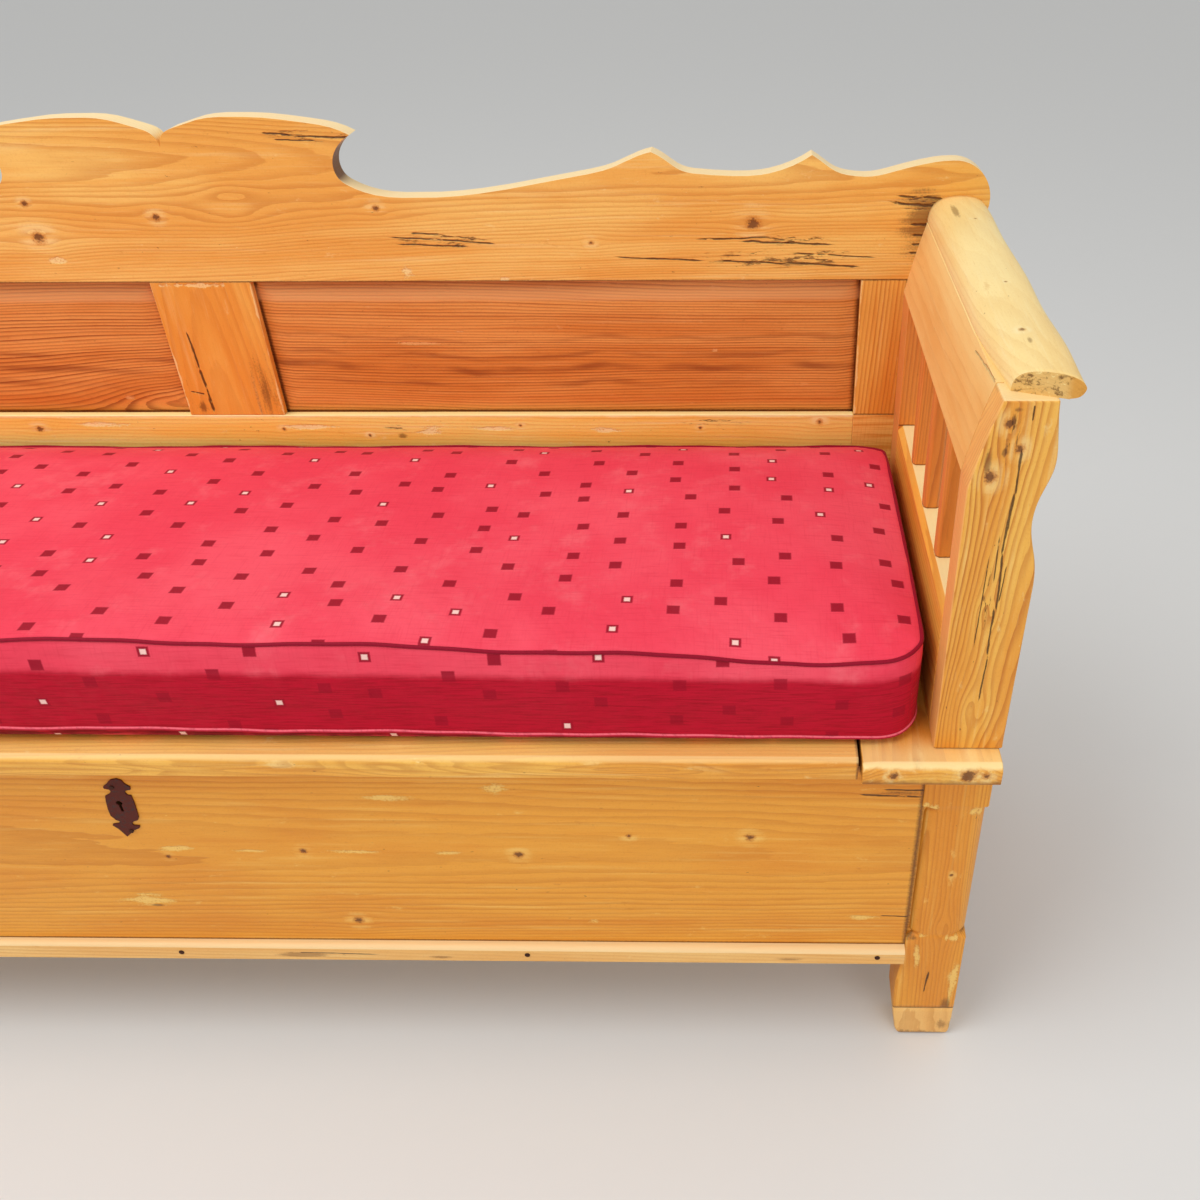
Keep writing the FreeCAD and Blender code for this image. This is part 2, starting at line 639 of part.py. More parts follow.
def box_sides_and_bottom():
    legs = [nodes["front_leg_left"], nodes["front_leg_right"]]
    leg_back = f"({LEG_FRONT} + dims.leg_thickness)"
    outer = f"({OUTSIDE} - dims.side_panel_setback)"
    inner = f"({outer} - dims.side_panel_thickness)"
    for side, sign in SIDES:
        keep(f"side_panel_{side}", side_block(f"side_panel_{side}", sign, (inner, outer),
                                              (leg_back, FRAME_FRONT), ("dims.box_bottom", SEAT_UNDER)))
    deck = "(dims.box_bottom + dims.bearer_height)"
    spread = f"({LEG_INNER} - dims.bearer_inset)"
    for name, place in (("left", f"-{spread}"), ("middle", "0"), ("right", spread)):
        keep(f"bottom_bearer_{name}", block(
            f"bottom_bearer_{name}", (f"{place} - dims.bearer_width / 2", f"{place} + dims.bearer_width / 2"),
            (PANEL_INSIDE, FRAME_FRONT), ("dims.box_bottom", deck)))
    width = f"(({FRAME_FRONT} - {PANEL_INSIDE} - 2 * dims.board_gap) / 3)"
    for number, name in enumerate(("front", "middle", "back")):
        start = f"{PANEL_INSIDE} + {number} * ({width} + dims.board_gap)"
        board = block(f"bottom_board_blank_{name}", (f"-{inner}", inner), (start, f"{start} + {width}"),
                      (deck, f"{deck} + dims.bottom_board_thickness"))
        if number:
            keep(f"bottom_board_{name}", board)
        else:
            keep(f"bottom_board_{name}", cut(f"bottom_board_{name}", board, legs))


def front_strip():
    """The strip nailed along the foot of the front panel, and its nails."""
    strip_front = f"({LEG_FRONT} - dims.strip_thickness)"
    strip = block("strip_blank", (f"-{LEG_INNER}", LEG_INNER), (strip_front, LEG_FRONT),
                  ("dims.box_bottom", "dims.box_bottom + dims.strip_height"))
    height = "dims.box_bottom + dims.strip_height / 2"
    nails = []
    for number in range(-2, 3):
        place = f"{number} / 2 * ({LEG_INNER} - dims.nail_end_gap)"
        shank = rod(f"nail_shank_{number + 2}", "dims.nail_radius", "dims.nail_length",
                    (place, strip_front, height), (0, 1, 0))
        head = rod(f"nail_head_{number + 2}", "dims.nail_head_radius", "dims.nail_head",
                   (place, f"{strip_front} - dims.nail_head", height), (0, 1, 0))
        nails.append(fuse(f"nail_{number + 2}", [shank, head]))
    group = doc.addObject("Part::Compound", "strip_nails")
    group.Links = nails
    keep("strip_nails", group)
    keep("front_strip", cut("front_strip", strip, [group]))
    nodes["front_panel"] = keep("front_panel", cut("front_panel_nailed", nodes["front_panel"], [group]))


def seat_ends(posts):
    """Fixed boards at both ends of the seat: the arm posts stand on them, tenoned through them."""
    for side, sign in SIDES:
        board = side_block(f"seat_end_blank_{side}", sign, (SEAT_END_INNER, OUTSIDE),
                           (FRONT_EDGE, FRAME_FRONT), (SEAT_UNDER, "dims.seat_top"))
        keep(f"seat_end_{side}", cut(f"seat_end_{side}", board, [posts[side]]))


def hinge_parts(name, middle):
    """One butt hinge: a leaf on the rail with two knuckles, a leaf on the lid with one, and a pin."""
    half = "(dims.hinge_length / 2)"
    knuckle = "(dims.hinge_length / 6)"
    low_z = f"({HINGE_Z} + dims.hinge_radius - dims.hinge_plate)"
    high_z = f"({HINGE_Z} + dims.hinge_radius)"
    start = f"{middle} - {half}"
    bore = rod(f"hinge_bore_{name}", "dims.hinge_pin_radius + dims.hinge_pin_clearance",
               "dims.hinge_length + 2", (f"{start} - 1", HINGE_Y, HINGE_Z), (1, 0, 0))

    def knuckle_part(tag, low, high, way):
        """One knuckle and the tab that joins it to its plate."""
        roll = rod(f"knuckle_{tag}", "dims.hinge_radius", f"({high}) - ({low})",
                   (low, HINGE_Y, HINGE_Z), (1, 0, 0))
        reach = f"{HINGE_Y} + dims.hinge_gap" if way > 0 else f"{HINGE_Y} - dims.hinge_gap"
        ends = (HINGE_Y, reach) if way > 0 else (reach, HINGE_Y)
        tab = block(f"tab_{tag}", (low, high), ends, (low_z, high_z))
        return [roll, tab]

    rail_parts = [block(f"rail_plate_{name}", (start, f"{middle} + {half}"),
                        (HINGE_FACE, f"{HINGE_FACE} + dims.hinge_leaf_width"), (low_z, high_z))]
    rail_parts += knuckle_part(f"{name}_a", start, f"{middle} - {knuckle} - dims.knuckle_play", 1)
    rail_parts += knuckle_part(f"{name}_b", f"{middle} + {knuckle} + dims.knuckle_play",
                               f"{middle} + {half}", 1)
    lid_edge = f"({HINGE_Y} - dims.hinge_gap)"
    lid_parts = [block(f"lid_plate_{name}", (start, f"{middle} + {half}"),
                       (f"{lid_edge} - dims.hinge_leaf_width", lid_edge), (low_z, high_z))]
    lid_parts += knuckle_part(f"{name}_c", f"{middle} - {knuckle}", f"{middle} + {knuckle}", -1)
    pin = rod(f"hinge_pin_{name}", "dims.hinge_pin_radius", "dims.hinge_length",
              (start, HINGE_Y, HINGE_Z), (1, 0, 0))
    keep(f"hinge_pin_{name}", pin)
    rail_leaf = cut(f"rail_leaf_blank_{name}", fuse(f"rail_leaf_whole_{name}", rail_parts), [bore])
    lid_leaf = cut(f"lid_leaf_blank_{name}", fuse(f"lid_leaf_whole_{name}", lid_parts), [bore])
    return rail_leaf, lid_leaf


def screw(name, x, y):
    """A countersunk screw whose head lies flush in a hinge leaf."""
    top = f"({HINGE_Z} + dims.hinge_radius)"
    shank = rod(f"screw_shank_{name}", "dims.screw_radius", "dims.screw_length", (x, y, top), (0, 0, -1))
    head = doc.addObject("Part::Cone", f"screw_head_{name}")
    head.setExpression("Radius1", "dims.screw_radius")
    head.setExpression("Radius2", "dims.screw_head_radius")
    head.setExpression("Height", "dims.screw_head_height")
    for letter, place in zip("xyz", (x, y, f"{top} - dims.screw_head_height")):
        head.setExpression(f"Placement.Base.{letter}", place)
    return fuse(f"screw_{name}", [shank, head])


def hinges():
    """Two hinges let into the tops of the lid and the hinge rail, with three screws in each leaf."""
    rail_screws, lid_screws, rail_leaves, lid_leaves = [], [], [], []
    for side, sign in SIDES:
        middle = f"({sign} * ({SEAT_END_INNER} - dims.hinge_end_gap))"
        rail_leaf, lid_leaf = hinge_parts(side, middle)
        here_rail, here_lid = [], []
        for number in (-1, 0, 1):
            x = f"{middle} + {number} * dims.screw_spread"
            tag = f"{side}_{number + 1}"
            here_rail.append(screw(f"rail_{tag}", x, f"{HINGE_FACE} + dims.hinge_leaf_width * 0.55"))
            here_lid.append(screw(f"lid_{tag}", x, f"{HINGE_Y} - dims.hinge_gap - dims.hinge_leaf_width * 0.55"))
        rail_leaves.append(keep(f"hinge_leaf_rail_{side}",
                                cut(f"hinge_leaf_rail_{side}", rail_leaf, here_rail)))
        lid_leaves.append(keep(f"hinge_leaf_lid_{side}",
                               cut(f"hinge_leaf_lid_{side}", lid_leaf, here_lid)))
        rail_screws += here_rail
        lid_screws += here_lid
    for label, screws in (("rail_hinge_screws", rail_screws), ("lid_hinge_screws", lid_screws)):
        group = doc.addObject("Part::Compound", label)
        group.Links = screws
        keep(label, group)
    return rail_leaves, lid_leaves


def leaf_pockets(name, way):
    """Recesses for the leaves, as deep as the leaf lies and open to the edge."""
    pockets = []
    low = f"{HINGE_Z} + dims.hinge_radius - dims.hinge_plate"
    for side, sign in SIDES:
        middle = f"({sign} * ({SEAT_END_INNER} - dims.hinge_end_gap))"
        if way > 0:
            span = (f"{HINGE_FACE} - 1", f"{HINGE_FACE} + dims.hinge_leaf_width")
        else:
            span = (f"{HINGE_Y} - dims.hinge_gap - dims.hinge_leaf_width", f"{HINGE_Y} - dims.hinge_gap + 1")
        pockets.append(block(f"leaf_pocket_{name}_{side}",
                             (f"{middle} - dims.hinge_length / 2", f"{middle} + dims.hinge_length / 2"),
                             span, (low, "dims.seat_top + 1")))
    return pockets


def hinge_rail():
    rail = block("hinge_rail_blank", (f"-{SEAT_END_INNER}", SEAT_END_INNER),
                 (HINGE_FACE, FRAME_FRONT), (SEAT_UNDER, "dims.seat_top"))
    keep("hinge_rail", cut("hinge_rail", rail, [*leaf_pockets("rail", 1), nodes["rail_hinge_screws"]]))


def lid_and_lock():
    """The lid with its battens and strike, and the box lock on the inside of the front panel."""
    end = f"({SEAT_END_INNER} - dims.lid_side_gap)"
    front = f"({LEG_FRONT} - dims.lid_overhang)"
    rear = f"({HINGE_Y} - dims.hinge_gap)"
    board = block("lid_blank", (f"-{end}", end), (front, rear), (SEAT_UNDER, "dims.seat_top"))
    bevel = block("lid_rear_bevel", (f"-{end} - 1", f"{end} + 1"), (rear, f"{rear} + 3 * dims.lid_rear_chamfer"),
                  ("dims.seat_top", "dims.seat_top + 3 * dims.lid_rear_chamfer"))
    bevel.Placement = Placement(Vector(), Rotation(Vector(1, 0, 0), 45))
    bevel.setExpression("Placement.Base.x", f"-{end} - 1")
    bevel.setExpression("Placement.Base.y", rear)
    bevel.setExpression("Placement.Base.z", "dims.seat_top - dims.lid_rear_chamfer")
    # strike: a plate let into the lid's underside, with a staple that hangs into the lock
    lock_rear = f"({PANEL_INSIDE} + dims.lock_depth)"
    lock_middle = f"({PANEL_INSIDE} + dims.lock_middle_depth)"
    lock_top = f"({SEAT_UNDER} - dims.lock_top_gap)"
    bolt_top = f"({lock_top} - dims.bolt_drop)"
    bolt_low = f"({bolt_top} - dims.bolt_height)"
    bolt_face = "(dims.bolt_depth / 2)"
    eye_half = f"({bolt_face} + dims.clearance)"
    staple_half = f"({eye_half} + dims.staple_web)"
    plate = block("strike_plate", ("-dims.strike_length / 2", "dims.strike_length / 2"),
                  (f"{lock_middle} - dims.strike_width / 2", f"{lock_middle} + dims.strike_width / 2"),
                  (SEAT_UNDER, f"{SEAT_UNDER} + dims.strike_plate"))
    staple_low = f"({bolt_low} - dims.lock_play - dims.staple_web)"
    staple = block("staple", ("-dims.staple_thickness / 2", "dims.staple_thickness / 2"),
                   (f"{lock_middle} - {staple_half}", f"{lock_middle} + {staple_half}"),
                   (staple_low, f"{SEAT_UNDER} + dims.strike_plate"))
    eye = block("staple_eye", ("-dims.staple_thickness", "dims.staple_thickness"),
                (f"{lock_middle} - {eye_half}", f"{lock_middle} + {eye_half}"),
                (f"{bolt_low} - dims.lock_play", f"{bolt_top} + dims.lock_play"))
    strike = keep("lid_strike", cut("lid_strike", fuse("strike_whole", [plate, staple]), [eye]))
    battens = []
    for side, sign in SIDES:
        middle = f"({sign} * ({SEAT_END_INNER} - dims.batten_end_gap))"
        battens.append(keep(f"lid_batten_{side}", block(
            f"lid_batten_{side}",
            (f"{middle} - dims.batten_width / 2", f"{middle} + dims.batten_width / 2"),
            (f"{PANEL_INSIDE} + dims.batten_inset", f"{rear} - dims.batten_inset / 2"),
            (f"{SEAT_UNDER} - dims.batten_thickness", SEAT_UNDER))))
    keep("lid", cut("lid", board, [bevel, strike, *leaf_pockets("lid", -1), nodes["lid_hinge_screws"]]))
    # lock: the bolt slides along x; it is withdrawn at rest and passes the staple's eye when shot
    half = "(dims.lock_width / 2)"
    case = block("lock_blank", (f"-{half}", half), (PANEL_INSIDE, lock_rear),
                 (f"{lock_top} - dims.lock_height", lock_top))
    bolt_start = "(dims.staple_thickness / 2 + 3 * dims.lock_play)"
    bolt_end = f"({bolt_start} + dims.bolt_length)"
    channel = block("bolt_channel",
                    (f"{bolt_start} - dims.bolt_travel - dims.clearance", f"{bolt_end} + dims.clearance"),
                    (f"{lock_middle} - {eye_half}", f"{lock_middle} + {eye_half}"),
                    (f"{bolt_low} - dims.clearance", f"{bolt_top} + dims.clearance"))
    slot = block("staple_slot",
                 ("-dims.staple_thickness / 2 - dims.lock_play", "dims.staple_thickness / 2 + dims.lock_play"),
                 (f"{lock_middle} - {staple_half} - dims.staple_slack",
                  f"{lock_middle} + {staple_half} + dims.lock_play"),
                 (f"{staple_low} - dims.lock_play", lock_top))
    keep("lock_case", cut("lock_case", case, [channel, slot, *keyhole("lock")]))
    keep("lock_bolt", block("lock_bolt", (bolt_start, bolt_end),
                            (f"{lock_middle} - {bolt_face}", f"{lock_middle} + {bolt_face}"),
                            (bolt_low, bolt_top)))


def cushion():
    """One long box cushion: a padded block with rounded corners and softened edges."""
    wide = f"2 * ({POST_INNER} - dims.cushion_side_gap)"
    start = f"({LEG_FRONT} + dims.cushion_front_gap)"
    deep = f"({FRAME_FRONT} - dims.cushion_back_gap - {start})"
    body, pad = upright("cushion", wide, deep, "dims.cushion_height",
                        (f"-({POST_INNER} - dims.cushion_side_gap)", start, "dims.seat_top + dims.clearance"))
    doc.recompute()
    corners = [f"Edge{index + 1}" for index, edge in enumerate(pad.Shape.Edges)
               if edge.BoundBox.ZLength > edge.BoundBox.XLength + edge.BoundBox.YLength]
    corner_round = body.newObject("PartDesign::Fillet", "cushion_corners")
    corner_round.Base = (pad, corners)
    corner_round.setExpression("Radius", "dims.cushion_corner")
    doc.recompute()
    rims = [f"Edge{index + 1}" for index, edge in enumerate(corner_round.Shape.Edges)
            if edge.BoundBox.ZLength < 0.001]
    rim_round = body.newObject("PartDesign::Fillet", "cushion_edges")
    rim_round.Base = (corner_round, rims)
    rim_round.setExpression("Radius", "dims.cushion_edge")
    keep("cushion", body)


panels = back_panels()
muntin = centre_muntin(panels)
rail = back_rail(panels, muntin)
backing = box_back()
stile_pair = stiles(panels, rail, backing)
crest_rail([muntin, *panels.values(), *stile_pair])
board_blanks = arm_boards()
posts = front_posts()
armrests()
arm_rails_and_spindles(board_blanks)
pin_group = keyhole_plate()
panel = front_panel(pin_group)
front_legs(posts, panel)
box_sides_and_bottom()
front_strip()
seat_ends(posts)
hinges()
hinge_rail()
lid_and_lock()
cushion()

doc.recompute()
for item in doc.Objects:
    if any(state in ("Invalid", "Error") for state in item.State):
        raise RuntimeError(f"{item.Label} failed: {item.State}")
os.makedirs("parts", exist_ok=True)
for label, piece in nodes.items():
    shape = piece.Shape
    if shape.isNull() or not shape.isValid() or not shape.Solids:
        raise RuntimeError(f"{label} has no good shape")
    shape.exportStep(f"parts/{label}.step")
    box = shape.BoundBox
    print(f"{label}: {len(shape.Solids)} solid(s), {box.XMin:.1f}..{box.XMax:.1f}, "
          f"{box.YMin:.1f}..{box.YMax:.1f}, {box.ZMin:.1f}..{box.ZMax:.1f}")
print(len(nodes), "nodes")
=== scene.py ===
import math
import bpy
import bmesh
import numpy as np
from mathutils import Matrix, Vector, kdtree
from mathutils.bvhtree import BVHTree


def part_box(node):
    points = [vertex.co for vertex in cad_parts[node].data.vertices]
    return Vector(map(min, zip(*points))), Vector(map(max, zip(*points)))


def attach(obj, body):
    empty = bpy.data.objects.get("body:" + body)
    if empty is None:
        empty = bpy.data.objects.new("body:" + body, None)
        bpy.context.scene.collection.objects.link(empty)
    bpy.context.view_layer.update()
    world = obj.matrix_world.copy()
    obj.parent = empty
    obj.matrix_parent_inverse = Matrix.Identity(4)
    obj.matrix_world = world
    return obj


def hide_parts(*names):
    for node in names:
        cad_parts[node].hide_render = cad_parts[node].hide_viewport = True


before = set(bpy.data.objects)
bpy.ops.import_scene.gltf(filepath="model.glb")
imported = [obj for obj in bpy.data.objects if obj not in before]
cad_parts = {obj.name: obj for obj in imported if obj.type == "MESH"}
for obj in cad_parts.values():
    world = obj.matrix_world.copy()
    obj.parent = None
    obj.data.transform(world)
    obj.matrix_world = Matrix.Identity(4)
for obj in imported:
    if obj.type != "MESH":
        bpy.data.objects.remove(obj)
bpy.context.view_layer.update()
SIDES = (("left", -1), ("right", 1))

# The crest rail
# A wide pine board with its top sawn wavy by hand and rounded over at the front arris, mortised on to
# the stiles and the muntin. Its finish, waxed old pine, is the one that most of the settle has.


class Wire:
    """A value in a finish. Arithmetic on it adds the nodes that work it out."""

    def __init__(self, finish, socket):
        self.finish, self.socket = finish, socket

    def maths(self, operation, *others):
        return self.finish.add("ShaderNodeMath", {"operation": operation}, [self, *others])

    def __add__(self, other):
        return self.maths("ADD", other)

    def __sub__(self, other):
        return self.maths("SUBTRACT", other)

    def __rsub__(self, other):
        return self.finish.add("ShaderNodeMath", {"operation": "SUBTRACT"}, [other, self])

    def __mul__(self, other):
        return self.maths("MULTIPLY", other)

    def __truediv__(self, other):
        return self.maths("DIVIDE", other)

    def __pow__(self, other):
        return self.maths("POWER", other)

    def __abs__(self):
        return self.maths("ABSOLUTE")

    __radd__, __rmul__ = __add__, __mul__


class Finish:
    """One material of the settle, with the few calls that its nodes are made with."""

    def __init__(self, name, metallic=0.0, specular=0.5, sheen=0.0):
        self.material = bpy.data.materials.new(name)
        self.material.use_nodes = True
        self.nodes = self.material.node_tree.nodes
        self.links = self.material.node_tree.links
        self.shader = self.nodes["Principled BSDF"]
        self.shader.inputs["Metallic"].default_value = metallic
        self.shader.inputs["Specular IOR Level"].default_value = specular
        self.shader.inputs["Sheen Weight"].default_value = sheen

    def add(self, kind, settings=None, values=(), output=0):
        """Add one node: its settings first, then the values or wires of its sockets."""
        node = self.nodes.new(kind)
        for key, setting in (settings or {}).items():
            setattr(node, key, setting)
        pairs = values.items() if isinstance(values, dict) else enumerate(values)
        for key, given in pairs:
            if isinstance(given, Wire):
                self.links.new(given.socket, node.inputs[key])
            else:
                if isinstance(given, tuple) and len(given) == 3 and node.inputs[key].type == "RGBA":
                    given = (*given, 1.0)
                node.inputs[key].default_value = given
        return Wire(self, node.outputs[output])

    def parts(self, kind, wire):
        """The three outputs of a node that takes a vector or a colour apart."""
        node = self.add(kind, values=[wire]).socket.node
        return [Wire(self, node.outputs[number]) for number in range(3)]

    def place(self):
        """The place on the piece, in millimetres: x, y and z."""
        spot = self.add("ShaderNodeTexCoord", output="Object")
        return {axis: part * 1000.0 for axis, part in zip("xyz", self.parts("ShaderNodeSeparateXYZ", spot))}

    def facing(self):
        """The way the surface faces: x, y and z of its normal."""
        normal = self.add("ShaderNodeTexCoord", output="Normal")
        return dict(zip("xyz", self.parts("ShaderNodeSeparateXYZ", normal)))

    def turned(self, axis, low, high):
        """A smooth step over how far the surface faces along an axis."""
        return self.step(self.facing()[axis], low, high)

    def vector(self, x, y, z):
        return self.add("ShaderNodeCombineXYZ", values=[x, y, z])

    def noise(self, spot, scale, detail=2.0, rough=0.5, seed=0.0):
        return self.add("ShaderNodeTexNoise", {"noise_dimensions": "4D"},
                        {"Vector": spot, "W": seed, "Scale": scale, "Detail": detail, "Roughness": rough})

    def chance(self, spot):
        """Three even chances between 0 and 1 for each whole-numbered spot."""
        noise = self.add("ShaderNodeTexWhiteNoise", {"noise_dimensions": "3D"}, {"Vector": spot}, "Color")
        return self.parts("ShaderNodeSeparateColor", noise)

    def step(self, amount, low, high):
        """A smooth step from 0 at low to 1 at high; it falls where low is above high."""
        return self.add("ShaderNodeMapRange", {"interpolation_type": "SMOOTHSTEP"},
                        {"Value": amount, "From Min": low, "From Max": high})

    def blend(self, share, first, second):
        """The first colour where share is 0 and the second where it is 1."""
        return self.add("ShaderNodeMix", {"data_type": "RGBA"}, {0: share, 6: first, 7: second}, 2)

    def lay(self, share, colour):
        """Lay one more colour over what the finish already shows."""
        self.colour = self.blend(share, self.colour, colour)
        self.links.new(self.colour.socket, self.shader.inputs["Base Color"])

    def show(self, colour, roughness, height=None, depth=0.001, strength=1.0):
        self.links.new(colour.socket, self.shader.inputs["Base Color"])
        if isinstance(roughness, Wire):
            self.links.new(roughness.socket, self.shader.inputs["Roughness"])
        else:
            self.shader.inputs["Roughness"].default_value = roughness
        if height is not None:
            bump = self.add("ShaderNodeBump", {}, {"Strength": strength, "Distance": depth, "Height": height})
            self.links.new(bump.socket, self.shader.inputs["Normal"])
        return self.material


def tint(red, green, blue):
    """A colour as it is seen, 0 to 255, as the linear numbers that a shader takes."""
    return tuple((c / 255 / 12.92) if c <= 10 else ((c / 255 + 0.055) / 1.055) ** 2.4
                 for c in (red, green, blue))


def palette(*colours):
    """The five tones of a pine finish: early wood, warm wood, late wood, pale wear, and dirt that also paints shade
    where parts meet.
    """
    return dict(zip(("early", "warm", "late", "pale", "dirt_and_shade"), (tint(*colour) for colour in colours)))


GOLD = palette((248, 188, 84), (236, 152, 48), (200, 116, 34), (255, 224, 150), (92, 44, 14))


def nearest(patches, along, across, through=None):
    """The way to the nearest of some oval patches, 1 at its rim: the least of their radii over their reach."""
    least = None
    for a_along, a_across, *a_through, reach, tall in patches:
        way = ((along - a_along) / reach) ** 2.0 + ((across - a_across) / tall) ** 2.0
        if a_through:
            way = way + ((through - a_through[0]) / tall) ** 2.0
        least = way if least is None else least.maths("MINIMUM", way)
    return None if least is None else least ** 0.5


def old_pine(name, grain, tones=GOLD, heart=(20, 70), ring=4.0, tilt=0.02, warp=9.0, knots=(), swirls=(),
             cracks=(), frayed=(), scars=(), stains=(), spots=(), bare=(), seams=(), box=None, worn=2.5,
             edge=0.7, lines=0.6, seed=1.0, rough=0.40, mottle=1.0):
    """Waxed pine as a solid pattern. grain names the axes along, across and through the board.

    The rings are the distance from a heart line that runs along the board, tilted and bent by noise.
    Across a knot the fibres part as water does round a post: w - w r^2 / (l^2 + w^2). Each ring goes
    slowly dark and then at once pale again, and some years are darker. bare and the seam lines name a
    place on an axis and a reach: near bare, wax rubbed off and a painted highlight; along the seam lines,
    painted shade where parts meet, with some dirt. spots are small knots on one face only, each a place
    along, across and through with its reach along and its width. The board's arrises, found by the
    second smallest distance to its faces, are worn pale here and there.
    """
    f = Finish(name, specular=0.34)
    at = f.place()
    along, across, through = (at[axis] for axis in grain)
    spot = f.vector(along * 0.12, across, through)
    plain = f.vector(at["x"], at["y"], at["z"])
    wander = f.noise(spot, 0.011, 2.0, 0.5, seed) - 0.5
    fine = f.noise(spot, 0.085, 3.0, 0.6, seed + 3.1) - 0.5
    grit = f.noise(plain, 0.42, 3.0, 0.65, seed + 5.3)
    bent, knot = across, None
    for number, (k_along, k_across, radius) in enumerate([*knots, *swirls]):
        d_along = along - k_along
        d_across = across - k_across
        square = d_along * d_along * 0.22 + d_across * d_across
        bent = bent - d_across * (radius * radius * 1.5) / (square + radius * radius * 0.8)
        if number < len(knots):
            place = (d_along * d_along * 0.8 + d_across * d_across) ** 0.5 / radius
            knot = place if knot is None else knot.maths("MINIMUM", place)
    w = bent - heart[0]
    t = through - heart[1]
    distance = (w * w + t * t) ** 0.5 + wander * (2 * warp) + fine * 3.0 + along * tilt
    turns = distance / ring + 60.0
    part = turns.maths("FRACT")
    tone = f.add("ShaderNodeTexWhiteNoise", {"noise_dimensions": "1D"}, {"W": turns.maths("FLOOR") + seed}, 0)
    years = f.noise(f.vector(turns * 0.16, along * 0.0012, 0.0), 1.0, 2.0, 0.5, seed + 1.7)
    dark = f.step(part, 0.30, 0.92) * f.step(part, 1.0, 0.94) * (tone * 0.55 + 0.45)
    fibre = f.noise(f.vector(along * 0.03, across, through), 1.5, 2.0, 0.6, seed + 7.0)
    streak = f.noise(f.vector(along * 0.035, across, through), 0.13, 3.0, 0.62, seed + 9.0)
    cloud = f.noise(f.vector(along * 0.30, across, through), 0.013, 3.0, 0.55, seed + 11.0)
    f.colour = f.blend(f.step(years + (cloud - 0.5) * 0.9, 0.38, 0.66) * 0.75, tones["early"], tones["warm"])
    f.lay(f.step(streak, 0.52, 0.74) * 0.50, tones["warm"])
    f.lay(f.step(streak, 0.46, 0.26) * 0.38 * mottle, tones["pale"])
    f.lay(dark * lines, tones["late"])
    f.lay(f.step(fibre, 0.56, 0.78) * 0.30, tones["late"])
    f.lay(f.step(fibre, 0.44, 0.24) * 0.22, tones["pale"])
    height = dark * -0.30 + fibre * 0.45
    # bruises and wax worn thin: short marks along the fibres, pale or dark
    bruise = f.noise(f.vector(along * 0.45, across, through), 0.060, 4.0, 0.72, seed + 17.0)
    fleck = f.noise(f.vector(along * 0.35, across, through), 0.30, 2.0, 0.6, seed + 19.0)
    f.lay(f.step(bruise, 0.62, 0.76) * 0.42 * mottle, tones["late"])
    f.lay(f.step(bruise, 0.38, 0.24) * 0.60 * mottle, tones["pale"])
    f.lay(f.step(fleck, 0.71, 0.78) * 0.60 * mottle, tones["dirt_and_shade"])
    f.lay(f.step(fleck, 0.27, 0.20) * 0.55 * mottle, tones["pale"])
    f.lay(f.step(grit, 0.50, 0.72) * 0.16 * mottle, tones["late"])
    height = height - f.step(bruise, 0.58, 0.78) * 0.6
    # pale near the given place: wax rubbed off, and a painted highlight along the arris
    for axis, where, reach in bare:
        near = f.step(abs(at[axis] - where) + (bruise - 0.5) * (1.6 * reach), reach, 0.15 * reach)
        f.lay(near * 0.75, tones["pale"])
    ragged = fine * 1.4 + (grit - 0.5) * 1.3 + (bruise - 0.5) * 1.2
    for near, wide in ((knot, 2.9), (nearest(spots, along, across, through), 2.2)):
        if near is not None:
            uneven = near + ragged
            f.lay(f.step(uneven, wide, 1.3) * f.step(streak, 0.60, 0.40) * 0.5, tones["pale"])
            f.lay(f.step(uneven, 1.20, 0.60) * 0.64, tones["late"])
            f.lay(f.step(uneven, 0.72, 0.30) * 0.78, tones["dirt_and_shade"])
            height = height - f.step(uneven, 0.72, 0.30) * 0.9
    if cracks or frayed:
        wobble = f.noise(f.vector(along * 0.25, across, through), 0.10, 3.0, 0.7, seed + 23.0) - 0.5
        broken = f.noise(f.vector(along, across * 2.0, through), 0.045, 3.0, 0.6, seed + 29.0)
    opened = None
    for a_along, a_across, b_along, b_across, width in cracks:
        length_along, length_across = b_along - a_along, b_across - a_across
        square = length_along ** 2 + length_across ** 2
        share = (along * (length_along / square) + across * (length_across / square)
                 - (a_along * length_along + a_across * length_across) / square)
        share = f.add("ShaderNodeClamp", {}, [share])
        off_along = along - share * length_along - a_along
        off_across = across + wobble * (5.0 * width) - share * length_across - a_across
        away = (off_along * off_along + off_across * off_across) ** 0.5 / width
        line = f.step(away + f.step(share * (1.0 - share), 0.10, 0.0), 1.25, 0.45)
        opened = line if opened is None else opened.maths("MAXIMUM", line)
    if opened is not None:
        opened = opened * f.step(broken, 0.32, 0.42)
        f.lay(opened * 0.86, tint(60, 30, 10))
        height = height - opened * 4.0
    near = nearest(frayed, along, across)
    if near is not None:
